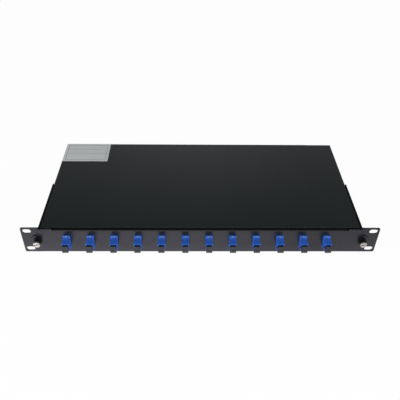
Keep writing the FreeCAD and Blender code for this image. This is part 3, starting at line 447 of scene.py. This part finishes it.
print("table", floor_material.name, len(floor_tree.nodes), "nodes")

# %% [markdown]
# ## The room
# Black paint shows the room more than its own colour. This room has a pale horizon under a dim ceiling
# and darkens to both sides, which gives the lid its slow change from front to rear. A picture of a
# studio could do the same, but two ramps are easier to tune. The camera itself sees plain white.

# %% World: a pale horizon under a dim ceiling
HORIZON = (1.15, 1.14, 1.23, 1.0)
CEILING = (0.046, 0.048, 0.053, 1.0)
HORIZON_END = 0.33
CEILING_START = 0.68
SIDE_REACH = 0.3
SIDE_SHARE = 0.5
world = bpy.data.worlds.new("studio")
scene.world = world
world.use_nodes = True
sky = world.node_tree
direction = add_node(sky, "ShaderNodeTexCoord")
sky_axes = add_node(sky, "ShaderNodeSeparateXYZ", {"Vector": direction.outputs["Generated"]}).outputs
height = ramp_node(sky, sky_axes["Z"], HORIZON_END, CEILING_START, smooth=True)
tone = mix_colours(sky, height, HORIZON, CEILING)
sideways = math_node(sky, "ABSOLUTE", sky_axes["X"])
side_fade = ramp_node(sky, sideways, 0.0, SIDE_REACH, 1.0, SIDE_SHARE, smooth=True)
to_camera = add_node(sky, "ShaderNodeLightPath").outputs["Is Camera Ray"]
background = sky.nodes["Background"].inputs
sky.links.new(mix_colours(sky, to_camera, tone, WHITE), background["Color"])
sky.links.new(math_node(sky, "MAXIMUM", side_fade, to_camera), background["Strength"])
print("world", world.name, len(sky.nodes), "nodes")

# %% [markdown]
# ## The lamps
# Two large soft boxes stand at the front, one to each side and the left one a little stronger. They
# light the mouldings and the screws without hard shadows. Small lamps would be simpler, but their
# shadows would show under each cap. The boxes are hidden from mirrors, so they leave no bright squares
# in the paint.

# %% Lamps
BOX_SIDE = 1.3
BOX_FRONT = -0.85
BOX_HEIGHT = 0.48
BOX_SIZE = 0.9
LEFT_POWER = 30.5
RIGHT_POWER = 26.0
PANEL_MIDDLE = Vector((0.0, 0.08, 0.0))


def soft_box(name, lamp_place, power):
    """A square lamp that looks at the middle of the panel."""
    lamp_data = bpy.data.lights.new(name, "AREA")
    lamp_data.shape = "SQUARE"
    lamp_data.size = BOX_SIZE
    lamp_data.energy = power
    lamp = bpy.data.objects.new(name, lamp_data)
    scene.collection.objects.link(lamp)
    lamp.location = lamp_place
    lamp.rotation_euler = (PANEL_MIDDLE - lamp_place).to_track_quat("-Z", "Y").to_euler()
    lamp.visible_glossy = False
    print("lamp", name, power, "W")


soft_box("left_box", Vector((-BOX_SIDE, BOX_FRONT, BOX_HEIGHT)), LEFT_POWER)
soft_box("right_box", Vector((BOX_SIDE, BOX_FRONT, BOX_HEIGHT)), RIGHT_POWER)

# %% [markdown]
# ## The sticker on the lid
# A silver sticker lies on the rear left corner of the sleeve, close to its edges. It could be a patch of
# colour in the paint, but a real one has an edge that catches light. So it is a thin closed sheet with
# small round corners, drawn as an outline and raised by its thickness.

# %% Make the sticker sheet
STICKER_WIDTH = 70.4 * MM
STICKER_DEPTH = 48.6 * MM
STICKER_CORNER = 1.2 * MM
STICKER_THICKNESS = 0.12 * MM
STICKER_EDGE = 0.7 * MM
CORNER_STEPS = 6


def rounded_outline(x0, y0, x1, y1, radius, steps):
    """Points round a rectangle with round corners, anticlockwise."""
    points = []
    for turn, (x, y) in enumerate(((x1 - radius, y1 - radius), (x0 + radius, y1 - radius),
                                   (x0 + radius, y0 + radius), (x1 - radius, y0 + radius))):
        for step in range(steps + 1):
            angle = (turn + step / steps) * math.pi / 2
            points.append((x + radius * math.cos(angle), y + radius * math.sin(angle)))
    return points


def flat_sheet(name, outline, bottom, thickness):
    """A closed thin solid over an anticlockwise outline: a lower face, an upper one and a wall."""
    count = len(outline)
    corners = [(x, y, z) for z in (bottom, bottom + thickness) for x, y in outline]
    faces = [list(reversed(range(count))), list(range(count, 2 * count))]
    for corner in range(count):
        following = (corner + 1) % count
        faces.append([corner, following, count + following, count + corner])
    mesh = bpy.data.meshes.new(name)
    mesh.from_pydata(corners, [], faces)
    piece = bpy.data.objects.new(name, mesh)
    scene.collection.objects.link(piece)
    return piece


case_low, case_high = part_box("case_shell")
sticker_left = case_low.x + STICKER_EDGE
sticker_front = case_high.y - STICKER_EDGE - STICKER_DEPTH
sticker = flat_sheet("sticker", rounded_outline(
    sticker_left, sticker_front, sticker_left + STICKER_WIDTH, sticker_front + STICKER_DEPTH,
    STICKER_CORNER, CORNER_STEPS), case_high.z, STICKER_THICKNESS)
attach(sticker, "case")
print("sticker", [round(x, 4) for x in sticker.dimensions])

# %% [markdown]
# ## The sticker's face
# The face is satin silver with the thin rules of an empty form: a frame with two lines across it. Rules
# could be more thin sheets, but ink has no thickness. Distances from the middle of the sheet draw them
# in the material, sharp at any size.

# %% Silver with rules
RULE_HALF = 0.25 * MM
RULE_COLOUR = (0.1, 0.1, 0.1, 1.0)
FORM_HALF_WIDTH = 31.0 * MM
FORM_HALF_DEPTH = 20.0 * MM
FORM_RULES = (9.0 * MM, -3.0 * MM)

sticker_material = grained(
    "silver_sticker", dark=(0.555, 0.588, 0.57), light=(0.575, 0.608, 0.59),
    edge_highlight_colour=(0.62, 0.62, 0.62), rough=(0.4, 0.5), grain=900.0, cloud=40.0, bump=0.05,
    edge_radius=0.1 * MM, painted_shade=0.0)
form_tree = sticker_material.node_tree
sheet_place = add_node(form_tree, "ShaderNodeTexCoord")
centred = add_node(form_tree, "ShaderNodeMapping", {
    "Vector": sheet_place.outputs["Object"],
    "Location": (-sticker_left - STICKER_WIDTH / 2, -sticker_front - STICKER_DEPTH / 2, 0.0)})
sheet_axes = add_node(form_tree, "ShaderNodeSeparateXYZ", {"Vector": centred.outputs["Vector"]}).outputs
across = math_node(form_tree, "ABSOLUTE", sheet_axes["X"])
along = math_node(form_tree, "ABSOLUTE", sheet_axes["Y"])


def on_line(value, line):
    """1 where a value is within half a rule of a line."""
    node = add_node(form_tree, "ShaderNodeMath", {0: value, 1: line, 2: RULE_HALF}, operation="COMPARE")
    return node.outputs["Value"]


def inside(value, limit):
    """1 where a value is no further out than the outer edge of a rule."""
    return math_node(form_tree, "LESS_THAN", value, limit + RULE_HALF)


in_width = inside(across, FORM_HALF_WIDTH)
in_depth = inside(along, FORM_HALF_DEPTH)
rules = math_node(form_tree, "MULTIPLY", on_line(across, FORM_HALF_WIDTH), in_depth)
lines_across = (FORM_HALF_DEPTH, -FORM_HALF_DEPTH, *FORM_RULES)
for line in lines_across:
    rule = math_node(form_tree, "MULTIPLY", on_line(sheet_axes["Y"], line), in_width)
    rules = math_node(form_tree, "MAXIMUM", rules, rule)
sticker_colour = form_tree.nodes["Principled BSDF"].inputs["Base Color"]
silver = sticker_colour.links[0].from_socket
form_tree.links.new(mix_colours(form_tree, rules, silver, RULE_COLOUR), sticker_colour)
sticker.data.materials.append(sticker_material)
print("sticker lines across", len(lines_across))

# %% [markdown]
# ## Screws and rivets
# Real screw heads are domed or countersunk and have a cross recess, each turned by chance. One Geometry
# Nodes tree makes them all: a cone for the head, raised to a dome, joined to a shank, with two crossed
# bars cut out of it, and a copy stood on every seat along its facing direction. A rivet is the same
# thing without the bars. The result is realized, because only real faces survive an export, and turned
# into a plain mesh that stands for the ready-made screws.

# %% Helper: run a tree on points
SHARP_ANGLE = math.radians(35)


def grow(name, tree, seats, facings, finish, **sizes):
    """Stand a tree's shape on points, and keep the result as a plain mesh."""
    mesh = bpy.data.meshes.new(name)
    mesh.from_pydata(seats, [], [])
    facing = mesh.attributes.new("facing", "FLOAT_VECTOR", "POINT")
    for item, vector in zip(facing.data, facings):
        item.vector = vector
    piece = bpy.data.objects.new(name, mesh)
    scene.collection.objects.link(piece)
    modifier = piece.modifiers.new("shape", "NODES")
    modifier.node_group = tree
    identifiers = {item.name: item.identifier for item in tree.interface.items_tree}
    for label, value in {**sizes, "Finish": finish}.items():
        modifier[identifiers[label.replace("_", " ")]] = value
    grown = piece.evaluated_get(bpy.context.evaluated_depsgraph_get())
    solid = bpy.data.meshes.new_from_object(grown)
    piece.modifiers.remove(modifier)
    piece.data = solid
    bpy.data.meshes.remove(mesh)
    solid.name = name
    solid.shade_smooth()
    solid.set_sharp_from_angle(angle=SHARP_ANGLE)
    print(name, len(seats), "made,", len(solid.polygons), "faces")
    return piece


# %% Helpers: parts of a fastener
def arithmetic(tree):
    """Plus, minus, times and over for one tree."""
    return [partial(math_node, tree, name) for name in ("ADD", "SUBTRACT", "MULTIPLY", "DIVIDE")]


def vector_node(tree, x, y, z):
    """Three numbers as one vector."""
    return add_node(tree, "ShaderNodeCombineXYZ", {"X": x, "Y": y, "Z": z}).outputs["Vector"]


def cone(tree, top, bottom, depth, sides, rings=1, fans=1):
    """A closed cone that stands on the XY plane."""
    return add_node(tree, "GeometryNodeMeshCone", {
        "Vertices": sides, "Side Segments": rings, "Fill Segments": fans,
        "Radius Top": top, "Radius Bottom": bottom, "Depth": depth},
        fill_type="TRIANGLE_FAN").outputs["Mesh"]


def box(tree, x, y, z):
    """A box of these sizes, about the origin."""
    return add_node(tree, "GeometryNodeMeshCube", {"Size": vector_node(tree, x, y, z)}).outputs["Mesh"]


def raised(tree, geometry, height):
    """Lift a whole shape along Z."""
    return add_node(tree, "GeometryNodeTransform", {
        "Geometry": geometry, "Translation": vector_node(tree, 0.0, 0.0, height)}).outputs["Geometry"]


def boolean(tree, operation, first, *others):
    """Union takes all shapes together; difference cuts the others out of the first."""
    node = add_node(tree, "GeometryNodeMeshBoolean", operation=operation, solver="EXACT")
    first_socket = "Mesh 1" if operation == "DIFFERENCE" else "Mesh 2"
    tree.links.new(first, node.inputs[first_socket])
    for other in others:
        tree.links.new(other, node.inputs["Mesh 2"])
    return node.outputs["Mesh"]


# %% Helpers: move the points of a shape
def place_axes(tree):
    """X, Y and Z of each point, and the square of its distance from the Z axis."""
    position = add_node(tree, "GeometryNodeInputPosition").outputs["Position"]
    axes = add_node(tree, "ShaderNodeSeparateXYZ", {"Vector": position}).outputs
    squares = math_node(tree, "ADD", math_node(tree, "MULTIPLY", axes["X"], axes["X"]),
                        math_node(tree, "MULTIPLY", axes["Y"], axes["Y"]))
    return axes, squares


def nudged(tree, geometry, x, y, z):
    """Move each point of a shape by its own offset."""
    return add_node(tree, "GeometryNodeSetPosition", {
        "Geometry": geometry, "Offset": vector_node(tree, x, y, z)}).outputs["Geometry"]


def pulled_in(tree, geometry, axes, depth, radius):
    """Move points towards the Z axis, by a depth that holds at the given radius."""
    inward = math_node(tree, "MULTIPLY", math_node(tree, "DIVIDE", depth, radius), -1.0)
    return nudged(tree, geometry, math_node(tree, "MULTIPLY", axes["X"], inward),
                  math_node(tree, "MULTIPLY", axes["Y"], inward), 0.0)


# %% Helper: copies on their seats
def stand_copies(tree, tree_in, tree_out, shape, spin):
    """Put a copy of a shape on every point, along the point's facing direction, and finish it."""
    facing = add_node(tree, "GeometryNodeInputNamedAttribute", {"Name": "facing"},
                      data_type="FLOAT_VECTOR")
    upright = add_node(tree, "FunctionNodeAlignRotationToVector", {
        "Vector": facing.outputs["Attribute"]}, axis="Z")
    own_turn = add_node(tree, "FunctionNodeAxisAngleToRotation", {"Axis": (0.0, 0.0, 1.0), "Angle": spin})
    turned_copy = add_node(tree, "FunctionNodeRotateRotation", {
        "Rotation": upright.outputs["Rotation"], "Rotate By": own_turn.outputs["Rotation"]},
        rotation_space="LOCAL")
    copies = add_node(tree, "GeometryNodeInstanceOnPoints", {
        "Points": tree_in["Points"], "Instance": shape, "Rotation": turned_copy.outputs["Rotation"]})
    real = add_node(tree, "GeometryNodeRealizeInstances", {"Geometry": copies.outputs["Instances"]})
    painted = add_node(tree, "GeometryNodeSetMaterial", {
        "Geometry": real.outputs["Geometry"], "Material": tree_in["Finish"]})
    tree.links.new(painted.outputs["Geometry"], tree_out["Pieces"])


# %% Tree: cross-recess screws and rivets, the blank
GEOMETRY = "NodeSocketGeometry"
MATERIAL = "NodeSocketMaterial"
OVERLAP = 0.2 * MM
DOME_RINGS = 4
screw_tree, screw_in, screw_out = new_group("small_fasteners", "GeometryNodeTree", {
    "Points": GEOMETRY, "Head Radius": 1.8 * MM, "Neck Radius": 1.8 * MM, "Head Height": 0.6 * MM,
    "Dome": 0.4 * MM, "Shank Radius": 1.0 * MM, "Shank Length": 5.0 * MM, "Bar Length": 2.2 * MM,
    "Bar Width": 0.5 * MM, "Bar Depth": 0.6 * MM, "Sides": 24, "Seed": 1, "Finish": MATERIAL},
    {"Pieces": GEOMETRY})
screw_tree.is_modifier = True
plus, minus, times, over = arithmetic(screw_tree)
head = cone(screw_tree, screw_in["Head Radius"], screw_in["Neck Radius"], screw_in["Head Height"],
            screw_in["Sides"], fans=DOME_RINGS)
axes, squares = place_axes(screw_tree)
spread = over(squares, times(screw_in["Head Radius"], screw_in["Head Radius"]))
swell = times(screw_in["Dome"], minus(1.0, spread))
on_top = math_node(screw_tree, "GREATER_THAN", axes["Z"], times(screw_in["Head Height"], 0.5))
domed = nudged(screw_tree, head, 0.0, 0.0, times(swell, on_top))
shank = cone(screw_tree, screw_in["Shank Radius"], screw_in["Shank Radius"],
             plus(screw_in["Shank Length"], OVERLAP), screw_in["Sides"])
shank = raised(screw_tree, shank, times(screw_in["Shank Length"], -1.0))
blank = boolean(screw_tree, "UNION", domed, shank)
print("tree", screw_tree.name, len(screw_tree.nodes), "nodes for the blank")

# %% Tree: cross-recess screws and rivets, the recess and the copies
# Sockets of the Random Value node that belong to single numbers
RANDOM_LOW = 2
RANDOM_HIGH = 3
RANDOM_NUMBER = 1
crown = plus(screw_in["Head Height"], screw_in["Dome"])
bar_height = times(screw_in["Bar Depth"], 2.0)
bars = []
for length, width in (("Bar Length", "Bar Width"), ("Bar Width", "Bar Length")):
    bar = box(screw_tree, screw_in[length], screw_in[width], bar_height)
    bars.append(raised(screw_tree, bar, crown))
recessed = boolean(screw_tree, "DIFFERENCE", blank, *bars)
with_bars = add_node(screw_tree, "FunctionNodeCompare", {0: screw_in["Bar Depth"], 1: 0.0},
                     data_type="FLOAT", operation="GREATER_THAN")
chosen = add_node(screw_tree, "GeometryNodeSwitch", {
    "Switch": with_bars.outputs["Result"], "False": blank, "True": recessed}, input_type="GEOMETRY")
chance = add_node(screw_tree, "FunctionNodeRandomValue", {
    RANDOM_LOW: 0.0, RANDOM_HIGH: math.pi, "Seed": screw_in["Seed"]}, data_type="FLOAT")
stand_copies(screw_tree, screw_in, screw_out, chosen.outputs["Output"], chance.outputs[RANDOM_NUMBER])
print("tree", screw_tree.name, len(screw_tree.nodes), "nodes in all")

# %% [markdown]
# ## Screws of the adapters
# Each blue flange is held by two small yellow screws with domed heads. Their seats could be typed in, but
# the ready-made pieces already say where they are: the middle of each adapter gives X, and the box of
# the plain screws gives the rest.

# %% Adapter screws: small pan heads on the flanges
PAN_RADIUS = 1.6 * MM
PAN_HEIGHT = 0.45 * MM
PAN_DOME = 0.55 * MM
PAN_SEAT_RADIUS = 1.8 * MM
PAN_SHANK = 1.0 * MM
PAN_CROSS = {"Bar_Length": 2.0 * MM, "Bar_Width": 0.45 * MM, "Bar_Depth": 0.5 * MM}
FORWARD = (0.0, -1.0, 0.0)
low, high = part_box("adapter_screws")
pan_seat = low.y + PAN_HEIGHT + PAN_DOME
pan_level = high.z - PAN_SEAT_RADIUS
adapters = sorted(name for name in nodes if name.startswith("adapter_") and name[-1].isdigit())
adapter_middles = [sum(corner.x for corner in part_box(name)) / 2 for name in adapters]
pan_seats = [(x, pan_seat, level) for x in adapter_middles for level in (-pan_level, pan_level)]
adapter_screws = grow(
    "adapter_pan_screws", screw_tree, pan_seats, [FORWARD] * len(pan_seats), finishes["brass_screw"],
    Head_Radius=PAN_RADIUS, Neck_Radius=PAN_RADIUS, Head_Height=PAN_HEIGHT, Dome=PAN_DOME,
    Shank_Radius=PAN_SHANK, Shank_Length=high.y - pan_seat, Seed=3, **PAN_CROSS)
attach(adapter_screws, "drawer")
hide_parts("adapter_screws")

# %% [markdown]
# ## Screws of the ears
# Each ear is an angle, screwed to the side of the sleeve by four black screws. Their heads are sunk
# flush, because the panel has to slide between the posts of a rack. A head that narrows to the shank and
# has no dome makes the same tree a countersunk screw.

# %% Ear screws: countersunk heads, flush with the legs of the ears
SUNK_RADIUS = 2.4 * MM
SUNK_NECK = 1.5 * MM
SUNK_HEIGHT = 0.9 * MM
SUNK_SHANK = 2.3 * MM
SUNK_CROSS = {"Bar_Length": 2.6 * MM, "Bar_Width": 0.6 * MM, "Bar_Depth": 0.7 * MM}
SIDES = (-1.0, 1.0)
low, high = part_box("ear_screws")
sunk_levels = (low.z + SUNK_RADIUS, high.z - SUNK_RADIUS)
sunk_places = (low.y + SUNK_RADIUS, high.y - SUNK_RADIUS)
sunk_seats = []
sunk_facings = []
for side in SIDES:
    for y in sunk_places:
        for z in sunk_levels:
            sunk_seats.append((side * (high.x - SUNK_HEIGHT), y, z))
            sunk_facings.append((side, 0.0, 0.0))
ear_screws = grow(
    "ear_sunk_screws", screw_tree, sunk_seats, sunk_facings, finishes["black_screw"],
    Head_Radius=SUNK_RADIUS, Neck_Radius=SUNK_NECK, Head_Height=SUNK_HEIGHT, Dome=0.0,
    Shank_Radius=SUNK_NECK, Shank_Length=SUNK_SHANK, Seed=5, **SUNK_CROSS)
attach(ear_screws, "case")
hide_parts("ear_screws")

# %% [markdown]
# ## Screws of the splice cassette
# Two larger zinc screws hold the cassette to the floor of the drawer. They show only when the drawer is
# open and the lid is off, but they come from the same tree, so they cost one call.

# %% Cassette screws: larger pan heads on the floor of the splice cassette
CASSETTE_HEAD = 2.8 * MM
CASSETTE_HEIGHT = 0.8 * MM
CASSETTE_DOME = 0.8 * MM
CASSETTE_SHANK = 1.5 * MM
CASSETTE_CROSS = {"Bar_Length": 3.2 * MM, "Bar_Width": 0.7 * MM, "Bar_Depth": 0.9 * MM}
UPWARD = (0.0, 0.0, 1.0)
low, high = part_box("cassette_screws")
cassette_seat = high.z - CASSETTE_HEIGHT - CASSETTE_DOME
cassette_seats = [(x, (low.y + high.y) / 2, cassette_seat)
                  for x in (low.x + CASSETTE_HEAD, high.x - CASSETTE_HEAD)]
cassette_screws = grow(
    "cassette_pan_screws", screw_tree, cassette_seats, [UPWARD] * len(cassette_seats),
    finishes["zinc_steel"], Head_Radius=CASSETTE_HEAD, Neck_Radius=CASSETTE_HEAD,
    Head_Height=CASSETTE_HEIGHT, Dome=CASSETTE_DOME, Shank_Radius=CASSETTE_SHANK,
    Shank_Length=cassette_seat - low.z, Seed=7, **CASSETTE_CROSS)
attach(cassette_screws, "drawer")
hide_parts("cassette_screws")

# %% [markdown]
# ## Rivets of the slides
# Rails and runners are riveted on, three rivets to a side. Rails have the heads inside the sleeve, and
# runners have them outside the drawer's wall. A low dome and no bars make the screw tree a rivet, and one
# function serves both rows.

# %% Slide rivets: low domes along the rails and the runners
RIVET_HEAD = 3.0 * MM
RIVET_HEIGHT = 0.25 * MM
RIVET_DOME = 0.65 * MM
RIVET_SHANK = 1.6 * MM


def slide_rivets(name, node, body, head_inside, seed):
    """Replace a row of plain rivets on both sides; head_inside says which end of the pins has the head."""
    low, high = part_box(node)
    places = (low.y + RIVET_HEAD, (low.y + high.y) / 2, high.y - RIVET_HEAD)
    inner = min(abs(vertex.co.x) for vertex in nodes[node].data.vertices)
    length = high.x - inner - RIVET_HEIGHT - RIVET_DOME
    seats = []
    facings = []
    for side in SIDES:
        toward = -side if head_inside else side
        face = inner + RIVET_HEIGHT + RIVET_DOME if head_inside else high.x - RIVET_HEIGHT - RIVET_DOME
        for y in places:
            seats.append((side * face, y, (low.z + high.z) / 2))
            facings.append((toward, 0.0, 0.0))
    rivets = grow(name, screw_tree, seats, facings, finishes["zinc_steel"], Head_Radius=RIVET_HEAD,
                  Neck_Radius=RIVET_HEAD, Head_Height=RIVET_HEIGHT, Dome=RIVET_DOME,
                  Shank_Radius=RIVET_SHANK, Shank_Length=length, Bar_Depth=0.0, Seed=seed)
    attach(rivets, body)
    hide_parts(node)


slide_rivets("rail_dome_rivets", "rail_rivets", "case", head_inside=True, seed=11)
slide_rivets("runner_dome_rivets", "runner_rivets", "drawer", head_inside=False, seed=13)

# %% [markdown]
# ## Thumb-screws
# Each captive screw has a nickel head with a straight knurl for the fingers, a driver slot across its
# face and a thread at its tip. Such shapes could be cut groove by groove, but turned work follows a
# rule, so a second tree makes them: the rings of a cylinder move in and out with the angle for the
# knurl, and with height and angle together for the thread.

# %% Tree: thumb-screws, the knurled head
RIM_SHARE = 0.95
HEAD_RINGS = 8
FACE_RINGS = 3
thumb_tree, thumb_in, thumb_out = new_group("thumb_screws", "GeometryNodeTree", {
    "Points": GEOMETRY, "Head Radius": 4.8 * MM, "Head Height": 3.0 * MM, "Knurl Depth": 0.25 * MM,
    "Ridges": 36, "Chamfer": 0.4 * MM, "Shank Radius": 1.5 * MM, "Shank Length": 13.5 * MM,
    "Thread Length": 6.5 * MM, "Pitch": 0.5 * MM, "Thread Depth": 0.22 * MM, "Slot Width": 1.2 * MM,
    "Slot Depth": 1.3 * MM, "Tilt": 0.2, "Finish": MATERIAL}, {"Pieces": GEOMETRY})
thumb_tree.is_modifier = True
plus, minus, times, over = arithmetic(thumb_tree)
axes, squares = place_axes(thumb_tree)
angle = math_node(thumb_tree, "ARCTAN2", axes["Y"], axes["X"])
drum = cone(thumb_tree, thumb_in["Head Radius"], thumb_in["Head Radius"], thumb_in["Head Height"],
            times(thumb_in["Ridges"], 2.0), rings=HEAD_RINGS, fans=FACE_RINGS)
wave = math_node(thumb_tree, "COSINE", times(angle, thumb_in["Ridges"]))
groove = times(minus(1.0, wave), times(thumb_in["Knurl Depth"], 0.5))
half_head = times(thumb_in["Head Height"], 0.5)
from_middle = math_node(thumb_tree, "ABSOLUTE", minus(axes["Z"], half_head))
sloped = math_node(thumb_tree, "MAXIMUM", 0.0, minus(thumb_in["Chamfer"], minus(half_head, from_middle)))
on_rim = math_node(thumb_tree, "GREATER_THAN", math_node(thumb_tree, "SQRT", squares),
                   times(thumb_in["Head Radius"], RIM_SHARE))
carved = times(math_node(thumb_tree, "MAXIMUM", groove, sloped), on_rim)
knurled = pulled_in(thumb_tree, drum, axes, carved, thumb_in["Head Radius"])
print("tree", thumb_tree.name, len(thumb_tree.nodes), "nodes for the head")

# %% Tree: thumb-screws, the threaded shank
SHANK_SIDES = 16
THREAD_RINGS = 96
rod = cone(thumb_tree, thumb_in["Shank Radius"], thumb_in["Shank Radius"],
           plus(thumb_in["Shank Length"], OVERLAP), SHANK_SIDES, rings=THREAD_RINGS)
rod = raised(thumb_tree, rod, times(thumb_in["Shank Length"], -1.0))
turns = over(times(axes["Z"], math.tau), thumb_in["Pitch"])
ripple = math_node(thumb_tree, "COSINE", minus(turns, angle))
cut_in = times(minus(1.0, ripple), times(thumb_in["Thread Depth"], 0.5))
thread_end = minus(thumb_in["Thread Length"], thumb_in["Shank Length"])
in_thread = math_node(thumb_tree, "LESS_THAN", axes["Z"], thread_end)
threaded = pulled_in(thumb_tree, rod, axes, times(cut_in, in_thread), thumb_in["Shank Radius"])
solid_screw = boolean(thumb_tree, "UNION", knurled, threaded)
print("tree", thumb_tree.name, len(thumb_tree.nodes), "nodes with the shank")

# %% Tree: thumb-screws, the slot and the copies
SLOT_REACH = 3.0
slot_bar = box(thumb_tree, times(thumb_in["Head Radius"], SLOT_REACH), thumb_in["Slot Width"],
               times(thumb_in["Slot Depth"], 2.0))
slotted = boolean(thumb_tree, "DIFFERENCE", solid_screw,
                  raised(thumb_tree, slot_bar, thumb_in["Head Height"]))
stand_copies(thumb_tree, thumb_in, thumb_out, slotted, thumb_in["Tilt"])
print("tree", thumb_tree.name, len(thumb_tree.nodes), "nodes in all")

# %% Make the thumb-screws
THUMB_HEAD = 3.0 * MM
SLOT_TILT = math.radians(14)
for hand in ("left", "right"):
    node = f"thumb_screw_{hand}"
    low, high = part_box(node)
    seat = ((low.x + high.x) / 2, low.y + THUMB_HEAD, (low.z + high.z) / 2)
    thumb_screw = grow(
        f"knurled_screw_{hand}", thumb_tree, [seat], [FORWARD], finishes["thumb_metal"],
        Head_Radius=(high.x - low.x) / 2, Head_Height=THUMB_HEAD, Shank_Length=high.y - seat[1],
        Tilt=SLOT_TILT)
    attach(thumb_screw, f"thumb_{hand}")
    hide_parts(node)
